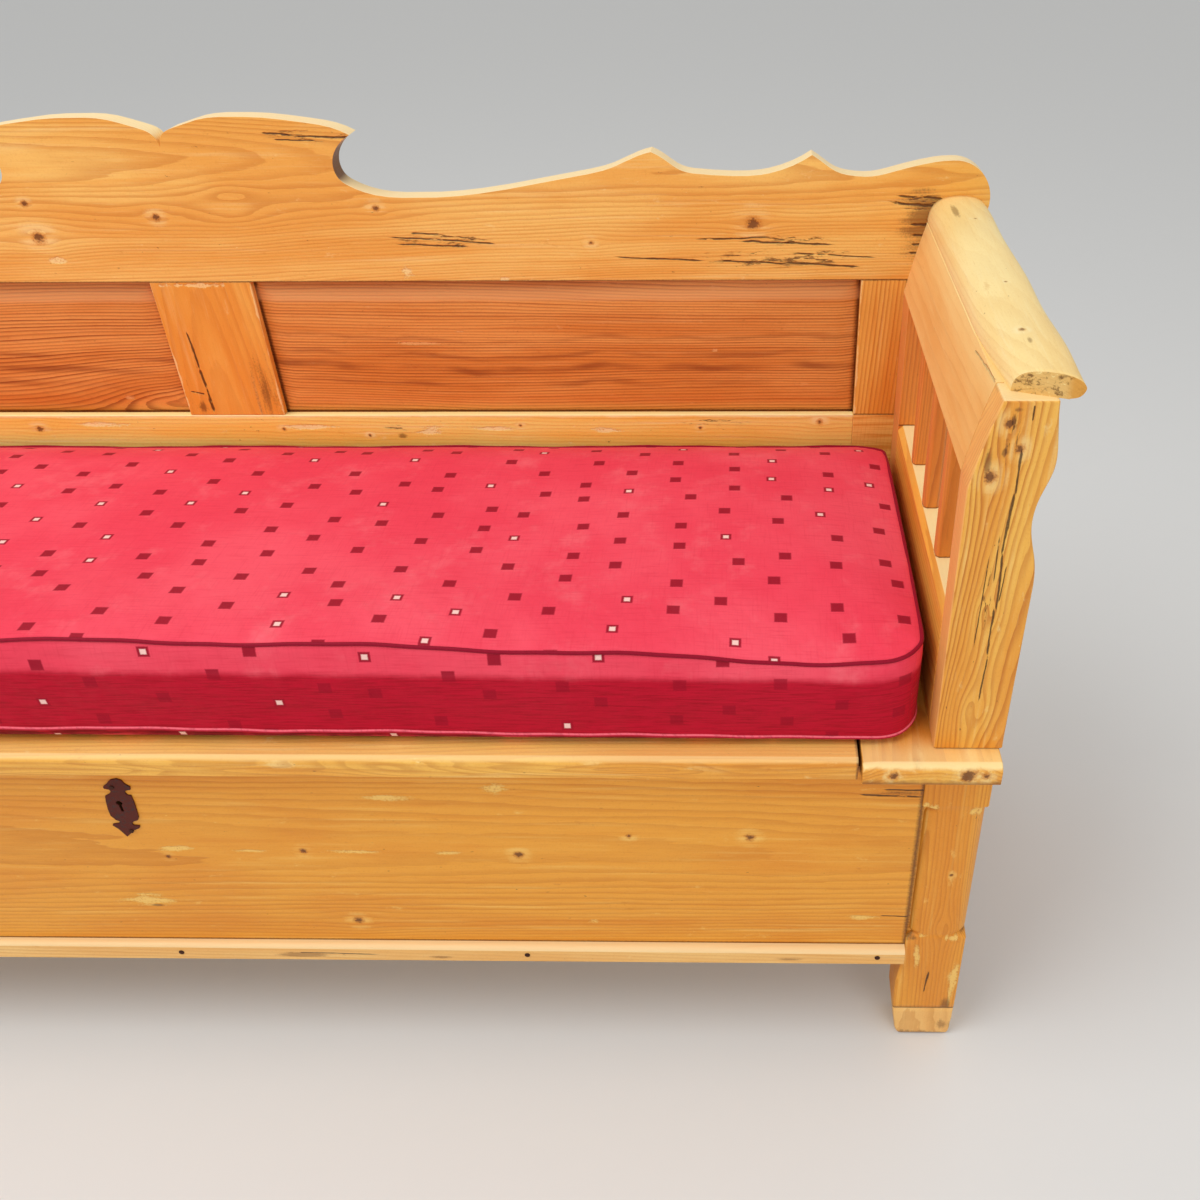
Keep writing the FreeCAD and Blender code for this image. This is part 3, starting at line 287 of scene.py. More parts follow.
        # patches where the face has flaked away along the fibres into short dark lines
        cuts = f.noise(f.vector(along * 0.12, across + wobble * 7.0, through), 0.34, 3.0, 0.7, seed + 31.0)
        chip = f.step(near + (broken - 0.5) * 1.2, 1.0, 0.55) * f.step(cuts, 0.54, 0.61)
        f.lay(chip * 0.80, tint(88, 48, 16))
        height = height - chip * 3.0
    near = nearest(scars, along, across)
    if near is not None:
        torn = near + fine * 2.2 + (bruise - 0.5) * 2.4 + (streak - 0.5) * 1.8 + (grit - 0.5) * 1.3
        chipped = f.step(torn, 1.05, 0.50)
        f.lay(chipped * 0.76, tones["pale"])
        f.lay(chipped * f.step(grit + (fibre - 0.5) * 0.5, 0.55, 0.68) * 0.6, tones["late"])
        height = height - chipped * 1.4
    near = nearest(stains, along, across)
    if near is not None:
        spoilt = f.step(near + fine * 2.0 + (streak - 0.5) * 2.2 + (grit - 0.5) * 1.0, 1.1, 0.30)
        f.lay(spoilt * 0.62, tones["dirt_and_shade"])
    if box is not None:
        low, high = (np.array(corner) * 1000.0 for corner in box)
        away = [(at[axis] - float(low[n])).maths("MINIMUM", float(high[n]) - at[axis])
                for n, axis in enumerate("xyz")]
        least = away[0].maths("MINIMUM", away[1])
        most = away[0].maths("MAXIMUM", away[1])
        arris = least.maths("MAXIMUM", most.maths("MINIMUM", away[2]))
        rub = f.noise(plain, 0.024, 4.0, 0.7, seed + 37.0)
        pale = f.step(arris - f.step(rub, 0.36, 0.70) * (2.0 * worn), 0.5 * worn, -0.3 * worn)
        f.lay(pale * edge, tones["pale"])
    # painted shade where parts meet, with some dirt: a dark line along each given seam
    for axis, where, reach in seams:
        gap = abs(at[axis] - where) + (grit - 0.5) * reach
        f.lay(f.step(gap, reach, 0.0) * 0.80, tones["dirt_and_shade"])
    f.show(f.colour, dark * 0.06 + bruise * 0.14 + rough - 0.04, height, 0.0006, 0.7)
    f.fine, f.grit, f.at = fine, grit, at
    return f


SHARP = math.radians(28)


def linked(name, data):
    """A new object in the scene with the given data."""
    piece = bpy.data.objects.new(name, data)
    bpy.context.scene.collection.objects.link(piece)
    return piece


def eased(node, ease, finish, body="root", nose=None, nose_radius=0.006):
    """A CAD piece with its arrises rounded over, as a plane and years of use leave them.

    nose picks, by the middle of an edge, the arrises that are rounded further.
    """
    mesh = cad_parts[node].data.copy()
    made = bmesh.new()
    made.from_mesh(mesh)
    bmesh.ops.remove_doubles(made, verts=made.verts, dist=1e-6)
    bmesh.ops.dissolve_limit(made, angle_limit=math.radians(1.0), verts=made.verts, edges=made.edges,
                             use_dissolve_boundaries=False)
    if nose is not None:
        chosen = [e for e in made.edges if len(e.link_faces) == 2
                  and e.calc_face_angle(0.0) > SHARP and nose((e.verts[0].co + e.verts[1].co) / 2)]
        bmesh.ops.bevel(made, geom=chosen, offset=nose_radius, segments=6, profile=0.5, affect="EDGES",
                        clamp_overlap=True)
    sharp = [e for e in made.edges if len(e.link_faces) == 2 and e.calc_face_angle(0.0) > SHARP]
    bmesh.ops.bevel(made, geom=sharp, offset=ease, segments=3, profile=0.5, affect="EDGES",
                    clamp_overlap=True)
    for face in made.faces:
        face.smooth = True
    made.to_mesh(mesh)
    made.free()
    mesh.materials.clear()
    mesh.materials.append(finish.material)
    piece = linked(f"{node}_worn", mesh)
    weighted = piece.modifiers.new("even", "WEIGHTED_NORMAL")
    weighted.keep_sharp = True
    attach(piece, body)
    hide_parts(node)
    return piece


CREST = palette((252, 205, 108), (240, 168, 66), (204, 126, 40), (255, 230, 156), (92, 44, 14))
crest_finish = old_pine(
    "waxed_pine_crest", "xzy", tones=CREST, heart=(905, 300), ring=3.2, tilt=0.016, warp=17.0, lines=0.56, seed=2.0,
    knots=[(-173, 834, 9.0), (-175, 872, 4.0), (-28, 856, 5.0), (227, 864, 5.0), (657, 847, 9.0),
           (470, 824, 4.0), (-640, 850, 8.0), (-410, 905, 5.0), (-520, 812, 5.0)],
    swirls=[(60, 872, 16), (-330, 850, 18)],
    cracks=[(116, 947, 150, 944, 1.0), (150, 943, 216, 941, 1.0), (128, 939, 175, 938, 0.8),
            (235, 832, 300, 828, 0.9), (285, 829, 359, 824, 0.9), (242, 824, 328, 820, 0.9),
            (262, 836, 296, 835, 0.9), (495, 808, 601, 803, 0.9), (590, 828, 680, 830, 0.9),
            (640, 826, 751, 821, 1.0), (618, 803, 700, 799, 1.0), (690, 801, 782, 795, 1.0),
            (700, 812, 800, 806, 0.8), (812, 868, 868, 864, 1.6), (818, 876, 872, 872, 1.3),
            (835, 845, 882, 842, 1.8), (838, 832, 880, 830, 1.2), (838, 821, 876, 820, 1.3),
            (836, 812, 872, 811, 1.3), (-330, 820, -430, 816, 0.8), (-700, 845, -815, 838, 0.9)],
    frayed=[(300, 827, 62, 8), (690, 806, 100, 12), (700, 826, 60, 7), (165, 943, 55, 7), (842, 868, 34, 12),
            (-720, 830, 70, 8)],
    scars=[(250, 793, 9, 9), (363, 782, 6, 3), (-160, 806, 8, 4), (-210, 900, 10, 20)],
    stains=[(852, 850, 30, 40), (-225, 940, 12, 16)], seams=[("z", 780, 1.6)])
crest_face = crest_finish.facing()
# painted highlight: the faces of the crest that look up are painted pale
crest_finish.lay(crest_finish.step(crest_face["z"], 0.35, 0.75) * 0.80, tint(255, 230, 176))
# the sawn slopes of the valley are end grain and darker, and painted shade on these sideways faces darkens them
# further
bite = crest_finish.step(abs(abs(crest_finish.at["x"]) - 190.0), 40.0, 30.0)
sawn_and_shaded = crest_finish.step(abs(crest_face["y"]) + abs(crest_face["z"]) * 0.8, 0.75, 0.45)
crest_finish.lay(bite * sawn_and_shaded * 0.90, tint(96, 52, 18))
eased("crest_rail", 0.0022, crest_finish, nose=lambda m: m.z > 0.7805 and m.y < 0.2316, nose_radius=0.0055)

# The back's frame
# Two stiles that run from the floor to the crest, a muntin between the panels and a rail below them,
# all of pine, mortised together. The stiles are the back legs too.

for side, sign in SIDES:
    node = f"back_stile_{side}"
    stile = old_pine(
        f"waxed_pine_stile_{side}", "zxy", heart=(sign * 905, 262), ring=5.0, tilt=0.06, warp=6.0, lines=0.85,
        knots=[(240, sign * 850, 9)], box=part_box(node), worn=1.6, seed=4.0 + sign, mottle=0.7,
        seams=[("z", 780, 2.0), ("x", sign * 839, 5.0)])
    # the end of the bottom rail is halved over the stile, with its grain running across
    shown = stile.step(stile.at["z"], 607.8, 607.0) * stile.step(stile.at["z"], 476.0, 478.0)
    shown = shown * stile.turned("y", -0.5, -0.8)
    lines = stile.noise(stile.vector(stile.at["x"] * 0.04, stile.at["z"], 0.0), 0.22, 3.0, 0.6, 8.0 + sign)
    stile.lay(shown, stile.blend(stile.step(lines, 0.42, 0.62), tint(252, 200, 104), tint(232, 158, 64)))
    joint = stile.step(abs(stile.at["z"] - 607.4) + (stile.grit - 0.5) * 1.2, 1.2, 0.3)
    stile.lay(joint * stile.turned("y", -0.5, -0.8) * 0.85, tint(70, 34, 12))
    eased(node, 0.002, stile)
eased("centre_muntin", 0.0022, old_pine(
    "waxed_pine_muntin", "zxy", heart=(-10, 330), ring=4.2, tilt=0.05, warp=8.0, lines=0.35, seed=9.0,
    cracks=[(719, -34, 668, -31, 1.3), (672, -31, 611, -29, 1.9), (640, -52, 636, -34, 1.0)],
    scars=[(776, -10, 3, 40)], stains=[(618, -42, 9, 10), (640, 45, 60, 14)], box=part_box("centre_muntin"),
    worn=1.6, mottle=0.7, seams=[("z", 780, 1.6)]))
RAIL = palette((255, 226, 124), (255, 200, 84), (228, 154, 56), (255, 238, 170), (92, 44, 14))
rail_finish = old_pine(
    "waxed_pine_back_rail", "xzy", tones=RAIL, heart=(500, 300), ring=3.6, tilt=0.01, warp=9.0, lines=0.5,
    seed=12.0, knots=[(742, 597, 5), (-263, 588, 5), (590, 588, 3), (55, 587, 3.5), (164, 578, 3), (360, 592, 3)],
    frayed=[(215, 590, 30, 5), (610, 596, 50, 5)],
    scars=[(242, 585, 16, 5), (90, 590, 30, 4), (330, 588, 40, 4), (-180, 594, 40, 4), (470, 586, 20, 4)],
    # pale along the top arris: wax rubbed off, and a painted highlight
    stains=[(206, 577, 6, 4)], bare=[("z", 607, 5.0)], box=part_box("back_rail"), worn=2.0,
    mottle=1.4)
rail_finish.lay(rail_finish.turned("y", 0.4, 0.8) * 0.6, tint(232, 156, 66))
eased("back_rail", 0.0022, rail_finish)

# The back panels
# Two wide thin boards in grooves, from a resinous log, so they went far redder and darker under the
# wax than the frame. Their edges are planed down to a tongue that fits the grooves.

RED = palette((238, 164, 80), (218, 130, 46), (152, 76, 24), (240, 178, 104), (84, 34, 12))


def points_to_piece(name, points, faces, finish, body):
    """Put points and faces into a mesh that rides on a body, with its normals turned outwards."""
    mesh = bpy.data.meshes.new(name)
    mesh.from_pydata(points.reshape(-1, 3).tolist(), [], faces)
    made = bmesh.new()
    made.from_mesh(mesh)
    bmesh.ops.remove_doubles(made, verts=made.verts, dist=1e-7)
    bmesh.ops.recalc_face_normals(made, faces=made.faces)
    for face in made.faces:
        face.smooth = True
    made.to_mesh(mesh)
    made.free()
    mesh.materials.append(finish.material)
    piece = linked(name, mesh)
    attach(piece, body)
    return piece


def woven(rows, columns, around=False):
    """The four-sided faces of a grid of points; around joins its last column to its first."""
    place = np.arange(rows * columns).reshape(rows, columns)
    after = np.roll(place, -1, axis=1)
    if not around:
        place, after = place[:, :-1], after[:, :-1]
    return np.stack([place[:-1], after[:-1], after[1:], place[1:]], axis=-1).reshape(-1, 4).tolist()


def back_panel(side, band_seed, **grain):
    """The panel's front as a grid: flat in the middle, falling 5 mm to its edges over 26 mm, as
    front + 5 (1 - d / 26)^1.5 where d is the way to the nearest edge of the opening."""
    low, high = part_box(f"back_panel_{side}")
    xs = np.concatenate([np.linspace(low[0], low[0] + 0.04, 14), np.linspace(low[0] + 0.05, high[0] - 0.05, 30),
                         np.linspace(high[0] - 0.04, high[0], 14)])
    zs = np.concatenate([np.linspace(low[2], low[2] + 0.04, 14), np.linspace(low[2] + 0.045, high[2] - 0.045, 10),
                         np.linspace(high[2] - 0.04, high[2], 14)])
    x, z = np.meshgrid(xs, zs)
    near = np.minimum(np.minimum(x - low[0] - 0.009, high[0] - 0.009 - x),
                      np.minimum(z - low[2] - 0.009, high[2] - 0.009 - z))
    y = low[1] - 0.002 + 0.005 * np.clip(1.0 - near / 0.026, 0.0, 1.15) ** 1.5
    y += 0.0006 * np.sin(x * 11.0 + 0.7) * np.sin(z * 21.0)
    finish = old_pine(f"waxed_pine_panel_{side}", "xzy", tones=RED, **grain)
    # painted highlight: a pale band along the top bevel of the raised panel
    level = finish.at["z"] + finish.fine * 5.0
    upper = finish.step(level, 750.0, 756.0) * finish.step(level, 775.0, 762.0)
    finish.lay(upper * 0.55, tint(240, 178, 112))
    # a broad darker band wanders along the middle of the board, with a fan of bent fibres at its end
    bend = finish.noise(finish.vector(finish.at["x"], 0.0, 0.0), 0.0045, 2.0, 0.5, band_seed)
    away = finish.at["z"] - 668.0 - (bend - 0.5) * 52.0 + finish.fine * 14.0
    for offset, width, share in ((0.0, 3.2, 0.60), (17.0, 2.2, 0.40), (-21.0, 2.6, 0.42), (38.0, 2.0, 0.30)):
        faint = finish.noise(finish.vector(finish.at["x"], offset * 9.0, 0.0), 0.007, 2.0, 0.6, band_seed + offset)
        finish.lay(finish.step(abs(away - offset), width * 2.2, width * 0.3) * finish.step(faint, 0.36, 0.60)
                   * share, tint(126, 52, 14))
    piece = points_to_piece(f"back_panel_{side}_front", np.stack([x, y, z], axis=-1), woven(*x.shape), finish,
                            "root")
    board = piece.modifiers.new("board", "SOLIDIFY")
    board.thickness = 0.006
    board.offset = -1.0 if piece.data.polygons[0].normal.y < 0 else 1.0
    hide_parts(f"back_panel_{side}")
    return piece


back_panel("right", 3.0, heart=(560, 262), ring=3.8, tilt=0.004, warp=17.0, seed=21.0, lines=0.80, rough=0.30,
           scars=[(300, 715, 10, 1.2), (610, 690, 4, 2), (250, 700, 30, 2)], mottle=0.9,
           seams=[("z", 780, 4.0), ("z", 607, 3.0), ("x", 60.5, 5.0), ("x", 784, 7.0)])
back_panel("left", 8.0, heart=(570, 262), ring=4.2, tilt=0.012, warp=19.0, seed=26.0, lines=0.95, rough=0.30,
           swirls=[(-70, 600, 46)], scars=[(-137, 628, 7, 3)], mottle=0.9,
           seams=[("z", 780, 4.0), ("z", 607, 3.0), ("x", -60.5, 5.0), ("x", -784, 7.0)])

# The armrests
# Half-round rails rubbed bare by hands. They are thicker behind than in front, lie on the posts and the
# arm boards, and butt on the crest. Their front ends are rough sawn, a little askew.

BONE = palette((255, 228, 158), (246, 204, 124), (214, 160, 86), (255, 240, 190), (134, 96, 44))


def rounded(corners, steps):
    """A closed smooth line through corners: Catmull-Rom, with steps points from each to the next."""
    corners = np.asarray(corners, dtype=float)
    before, after, beyond = (np.roll(corners, shift, axis=0) for shift in (1, -1, -2))
    t = np.linspace(0.0, 1.0, steps, endpoint=False)[None, :, None]
    a, b, c, d = (p[:, None, :] for p in (before, corners, after, beyond))
    line = 0.5 * (2 * b + (c - a) * t + (2 * a - 5 * b + 4 * c - d) * t ** 2 + (3 * b - a - 3 * c + d) * t ** 3)
    return line.reshape(-1, corners.shape[1])


REST_SECTION = rounded([(0.0, 0.0), (0.0, 0.22), (0.05, 0.58), (0.19, 0.86), (0.44, 0.99), (0.70, 0.98),
                        (0.90, 0.84), (1.0, 0.60), (0.985, 0.34), (0.92, 0.13), (0.80, 0.015), (0.78, 0.0),
                        (0.40, 0.0), (0.02, 0.0)], 5)
for side, sign in SIDES:
    low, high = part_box(f"armrest_{side}")
    across, tall = REST_SECTION[:, 0][None, :], REST_SECTION[:, 1][None, :]
    share = np.linspace(0.0, 1.0, 70)[:, None]
    front = -0.2225 - 0.0200 * across
    y = high[1] + (front - high[1]) * share
    inner = 0.8552 + 0.0085 * np.clip((share - 0.70) / 0.30, 0.0, 1.0) ** 1.5
    outer = 0.9185 + 0.0010 * np.sin(share * 17.0)
    height = 0.0292 - 0.0085 * share ** 1.4 + 0.0005 * np.sin(share * 23.0 + 1.0)
    x = sign * (inner + (outer - inner) * across)
    z = low[2] + height * tall
    finish = old_pine(f"bare_pine_armrest_{side}", "yxz", tones=BONE, heart=(sign * 880, 800), ring=3.6, tilt=0.02,
                      warp=10.0, knots=[(-150, sign * 884, 3.5), (150, sign * 893, 2.5), (-40, sign * 890, 2.0)],
                      stains=[(-172, sign * 886, 7, 2), (180, sign * 876, 24, 4)],
                      seed=31.0 + sign, lines=0.16, rough=0.46, mottle=0.8)
    end = finish.turned("y", -0.55, -0.85)
    rings = finish.noise(finish.vector(finish.at["x"], finish.at["z"] * 1.5, 0.0), 0.16, 4.0, 0.7, 3.0)
    finish.lay(end * 0.75, tint(222, 172, 92))
    finish.lay(end * finish.step(rings, 0.50, 0.64) * 0.85, tint(112, 72, 26))
    finish.lay(end * finish.step(rings, 0.42, 0.30) * 0.80, tint(255, 232, 160))
    nose = finish.step(finish.at["x"] * sign, 902.0, 910.0)
    finish.lay(end * nose * 0.85, tint(216, 150, 56))
    faces = woven(*x.shape, around=True)
    count = x.shape[1]
    faces += [list(range(count)), list(range((len(share) - 1) * count, len(share) * count))]
    piece = points_to_piece(f"armrest_{side}_worn", np.stack([x, y, z + 0 * y], axis=-1), faces, finish,
                            "root")
    for polygon in piece.data.polygons:
        if len(polygon.vertices) > 4:
            polygon.use_smooth = False
    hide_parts(f"armrest_{side}")

# The arms
# Under each armrest a wide board that leans out, then three square sticks with planed corners that are
# let into a low rail, a front post sawn wavy on its outside and a plain rear post.

PEACH = palette((250, 200, 122), (240, 176, 94), (206, 136, 60), (255, 226, 156), (140, 88, 36))
STICK = palette((226, 138, 52), (208, 112, 36), (160, 76, 20), (236, 164, 92), (86, 42, 14))
for side, sign in SIDES:
    finish = old_pine(f"waxed_pine_arm_board_{side}", "yzx", tones=PEACH, heart=(700, sign * 1000), ring=4.5,
                      tilt=0.015, warp=10.0, seed=35.0 + sign, lines=0.22,
                      cracks=[(-120, 838, -165, 842, 0.8), (-160, 842, -204, 845, 1.2)], mottle=0.7)
    finish.lay(finish.step(finish.at["z"] + finish.fine * 30.0, 815.0, 848.0) * 0.7, tint(255, 224, 150))
    eased(f"arm_board_{side}", 0.0004, finish)
    node = f"arm_rail_{side}"
    finish = old_pine(f"waxed_pine_arm_rail_{side}", "yzx", heart=(500, sign * 990), ring=4.0, seed=39.0 + sign,
                      lines=0.6, mottle=0.7)
    # painted highlight: the rail's top face is painted pale
    finish.lay(finish.turned("z", 0.80, 0.97) * 0.92, tint(255, 228, 166))
    eased(node, 0.0010, finish)
    node = f"rear_arm_post_{side}"
    finish = old_pine(f"waxed_pine_rear_post_{side}", "zyx", tones=STICK, heart=(100, sign * 960), ring=4.0,
                      seed=43.0 + sign, lines=0.5, mottle=0.5, seams=[("z", 615, 2.0)])
    # painted light: the post's inner face, towards the seat, is painted lighter
    finish.lay(finish.step(finish.facing()["x"] * -sign, 0.5, 0.8) * 0.6, tint(240, 172, 100))
    eased(node, 0.0016, finish)
    for number in (1, 2, 3):
        node = f"arm_spindle_{side}_{number}"
        low, high = (np.array(corner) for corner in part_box(node))
        middle, half = (low + high) / 2, (high - low) / 2
        half[1] += 0.0012
        cut = 0.0030
        corners = np.array([(-half[0], -half[1] + cut), (-half[0] + cut, -half[1]), (half[0] - cut, -half[1]),
                            (half[0], -half[1] + cut), (half[0], half[1] - cut), (half[0] - cut, half[1]),
                            (-half[0] + cut, half[1]), (-half[0], half[1] - cut)])
        levels = np.linspace(low[2], high[2], 12)[:, None]
        bow = 1.0 + 0.02 * np.sin(levels * 37.0 + number)
        points = np.stack([middle[0] + corners[None, :, 0] * bow, middle[1] + corners[None, :, 1] * bow,
                           levels + 0 * corners[None, :, 0]], axis=-1)
        finish = old_pine(f"waxed_pine_{node}", "zyx", tones=STICK, heart=(60 * number, sign * 900), ring=3.0,
                          warp=4.0, seed=46.0 + 3 * number + sign, lines=0.5, mottle=0.5, seams=[("z", 615, 2.5)])
        # painted light: the spindles' inner faces, towards the seat, are painted lighter than their fronts
        face = finish.facing()
        finish.lay(finish.step(face["x"] * -sign, 0.55, 0.72) * finish.step(face["y"], -0.9, -0.5) * 0.30,
                   tint(246, 176, 104))
        faces = woven(12, 8, around=True) + [list(range(8)), list(range(88, 96))]
        piece = points_to_piece(f"{node}_planed", points, faces, finish, "root")
        soften = piece.modifiers.new("soften", "BEVEL")
        soften.width, soften.segments, soften.limit_method = 0.0007, 2, "ANGLE"
        piece.modifiers.new("even", "WEIGHTED_NORMAL")
        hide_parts(node)
    node = f"front_arm_post_{side}"
    finish = old_pine(
        f"waxed_pine_front_post_{side}", "zxy", heart=(sign * 905, -190), ring=2.9, tilt=0.035, warp=6.0,
        knots=[(826, sign * 862, 5.0), (803, sign * 874, 5.0), (777, sign * 853, 6.0)],
        swirls=[(525, sign * 870, 10), (640, sign * 869, 6)],
        cracks=[(803, sign * 875, 760, sign * 876, 0.9), (764, sign * 875, 700, sign * 872, 1.1),
                (704, sign * 873, 640, sign * 875, 1.0), (645, sign * 873, 590, sign * 873, 0.9),
                (594, sign * 874, 535, sign * 872, 0.8), (700, sign * 862, 600, sign * 860, 0.5),
                (690, sign * 878, 650, sign * 876, 0.5), (720, sign * 868, 672, sign * 869, 0.5),
                (842, sign * 880, 828, sign * 880, 0.7)],
        frayed=[(812, sign * 866, 26, 6), (650, sign * 866, 40, 3)],
        stains=[(792, sign * 848, 16, 4), (838, sign * 868, 3, 5), (800, sign * 862, 4, 3), (655, sign * 862, 4, 2),
                (846, sign * 850, 4, 6)], seed=56.0 + sign, lines=0.95, mottle=1.1,
        seams=[("z", 474, 2.0)])
    # painted highlight on the post's top face, and painted light on its inner face towards the seat
    face = finish.facing()
    finish.lay(finish.step(face["z"], 0.5, 0.9) * 0.85, tint(255, 224, 160))
    finish.lay(finish.step(face["x"] * -sign, 0.45, 0.8) * 0.55, tint(250, 196, 124))
    eased(node, 0.0022, finish)

# The storage box
# Front and sides of wide pine boards, tongued into the legs, with a bottom of three boards on
# bearers. The front was waxed darker than the frame, and a strip is nailed along its foot.

AMBER = palette((240, 164, 56), (228, 140, 36), (192, 106, 22), (252, 208, 114), (86, 44, 10))
BARE = palette((226, 190, 140), (210, 168, 114), (184, 138, 86), (238, 214, 172), (110, 74, 44))
front = old_pine(
    "waxed_pine_front", "xzy", tones=AMBER, heart=(330, -20), ring=2.9, tilt=0.006, warp=9.0, seed=61.0, lines=0.42,
    knots=[(407, 318, 5.5), (655, 346, 6.0), (527, 348, 4.0), (175, 322, 4.5), (212, 208, 6), (26, 312, 3.5),
           (-420, 300, 6), (-610, 380, 5), (-250, 205, 5)],
    cracks=[(765, 411, 832, 408, 1.2), (790, 418, 834, 417, 1.0), (800, 222, 832, 221, 0.8)],
    scars=[(-20, 240, 26, 10), (394, 417, 12, 8), (779, 219, 18, 4.5), (120, 322, 26, 3), (230, 321, 40, 3),
           (330, 320, 24, 3), (40, 325, 20, 5), (-560, 330, 14, 5), (280, 404, 24, 5), (480, 210, 10, 4)],
    stains=[(-10, 232, 8, 3), (805, 414, 44, 4), (800, 444, 50, 5)],
    seams=[("z", 449, 5.0), ("x", 831, 5.0), ("x", -831, 5.0), ("z", 174, 2.5)], mottle=1.1)
# painted shade: the way for the key is cut through the board, and the hole behind the plate is painted dark
key_way = (front.at["x"] * front.at["x"] + (front.at["z"] - 389.0) * (front.at["z"] - 389.0)) ** 0.5
front.lay(front.step(key_way, 12.0, 9.0) * 0.95, tint(34, 16, 8))
eased("front_panel", 0.0012, front)
strip_finish = old_pine(
    "waxed_pine_strip", "xzy", tones=PEACH, heart=(60, -150), ring=4.0, warp=6.0, seed=64.0, lines=0.4,
    cracks=[(120, 163, 230, 160, 0.7), (-400, 162, -300, 165, 0.7)], mottle=1.2,
    stains=[(140, 158, 30, 4), (300, 156, 16, 3), (700, 157, 20, 3), (-250, 157, 30, 4)])
strip_face = strip_finish.facing()
# painted highlight: the faces of the strip's rounded nose that look up are painted pale
strip_finish.lay(strip_finish.step(strip_face["z"] + strip_finish.fine * 0.7, 0.15, 0.7) * 0.8,
                 tint(255, 224, 168))
eased("front_strip", 0.0018, strip_finish, nose=lambda m: m.z > 0.1725 and m.y < -0.2500, nose_radius=0.0065)
for side, sign in SIDES:
    node = f"side_panel_{side}"
    eased(node, 0.0012, old_pine(f"waxed_pine_side_{side}", "yzx", tones=AMBER, heart=(330, sign * 1050),
                                 ring=4.4, warp=14.0, knots=[(40, 330, 8), (-80, 230, 6)], seed=66.0 + sign,
                                 lines=0.5, seams=[("y", -194.5, 3.0), ("z", 449, 3.0)]))
eased("box_back", 0.0012, old_pine("bare_pine_box_back", "xzy", tones=BARE, heart=(300, 420), ring=5.0,
                                   warp=14.0, seed=70.0))
for number, place in enumerate(("front", "middle", "back")):
    node = f"bottom_board_{place}"
    eased(node, 0.0012, old_pine(f"bare_pine_{node}", "xyz", tones=BARE, heart=(-150 + 150 * number, 90),
                                 ring=5.0, warp=12.0, seed=72.0 + number))
for number, place in enumerate(("left", "middle", "right")):
    node = f"bottom_bearer_{place}"
    eased(node, 0.0012, old_pine(f"bare_pine_{node}", "yxz", tones=BARE, heart=(600 * number, 90),
                                 seed=76.0 + number))

# The front legs
# Pine legs worked round between two stops, square above and below, with chip-carved nicks at the
# stops. The foot swells inwards and its tip, which had rotted, is spliced on.


def leg_piece(name, node, levels, insets, sign, finish):
    """A leg as a closed skin over its levels, in mm: each is a rectangle with rounded corners.

    The front corners' radius is 2.5 above and below the stops, 18 between them and 23 in the nicks. The
    inner side moves out to the foot's swelling as the given heights say.
    """
    round_part = np.clip((levels - 184.5) / 5.0, 0.0, 1.0) * np.clip((394.0 - levels) / 5.0, 0.0, 1.0)
    nick = np.exp(-((levels - 388.0) / 3.5) ** 2) + np.exp(-((levels - 190.0) / 3.5) ** 2)
    front = 2.5 + 15.5 * round_part ** 0.7 + 5.0 * nick
    inner = np.interp(levels, [0, 14, 54, 100, 125, 149, 450], [836, 831.5, 826.5, 826, 828, 831, 831]) + insets
    outer = np.interp(levels, [0, 30, 70, 450], [897.5, 899.5, 900, 900]) - insets
    near, far = -240.5 + insets, -194.5 - insets
    section = [((x + radius * (in_x + math.cos(angle))) * sign, y + radius * (in_y + math.sin(angle)), levels)
               for x, y, in_x, in_y, turn, radius in ((inner, near, 1, 1, 2, front), (outer, near, -1, 1, 3, front),
                                                      (outer, far, -1, -1, 0, 3.0), (inner, far, 1, -1, 1, 3.0))
               for angle in (turn + np.arange(9) / 8.0) * math.pi / 2]
    points = np.array(section).transpose(2, 0, 1) / 1000.0
    sides = len(section)
    faces = woven(len(levels), sides, around=True)
    faces += [list(range(sides)), list(range((len(levels) - 1) * sides, len(levels) * sides))]
    piece = points_to_piece(name, points, faces, finish, "root")
    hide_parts(node)
    return piece


for side, sign in SIDES:
    leg = old_pine(
        f"waxed_pine_leg_{side}", "zxy", tones=AMBER, heart=(sign * 790, -330), ring=2.8, tilt=0.012, warp=5.0,
        knots=[(290, sign * 872, 2.5)], swirls=[(200, sign * 872, 8)],
        scars=[(392, sign * 843, 7, 8), (386, sign * 889, 6, 10), (396, sign * 836, 5, 5), (184, sign * 886, 6, 12),
               (188, sign * 852, 6, 7), (156, sign * 846, 22, 5), (100, sign * 893, 40, 4)],
        cracks=[(124, sign * 863, 84, sign * 861, 0.8)],
        stains=[(190, sign * 897, 4, 7), (60, sign * 890, 14, 8), (440, sign * 850, 8, 20), (184, sign * 840, 6, 7),
                (112, sign * 863, 16, 3)],
        seed=80.0 + sign, lines=0.55, seams=[("z", 54.5, 1.2), ("z", 449, 3.0)], mottle=1.3)
    levels = np.concatenate([np.linspace(54.4, 176, 24), np.linspace(178, 200, 23), np.linspace(206, 374, 14),
                             np.linspace(380, 402, 23), np.linspace(406, 450, 6)])
    leg_piece(f"front_leg_{side}_worked", f"front_leg_{side}", levels, 0 * levels, sign, leg)
    tip = old_pine(f"waxed_pine_foot_{side}", "zxy", tones=PEACH, heart=(sign * 850, -80), ring=3.4, warp=5.0,
                   seed=84.0 + sign, lines=0.45, stains=[(20, sign * 890, 12, 10), (3, sign * 860, 6, 40)],
                   seams=[("z", 54.0, 1.5), ("z", 0.0, 3.0)], mottle=1.3)
    levels = np.array([0.0, 1.2, 3.0, 6.0, 14.0, 24.0, 34.0, 44.0, 53.4])
    leg_piece(f"foot_tip_{side}_spliced", f"foot_tip_{side}", levels,
              np.array([4.5, 2.2, 0.9, 0.2, 0.0, 0.3, 0.0, 0.2, 0.1]), sign, tip)

# The seat boards
# A fixed board at each end, the lid between them, and the rail behind it that carries the hinges.
# Their front arrises are rounded and worn pale by sitters' legs.


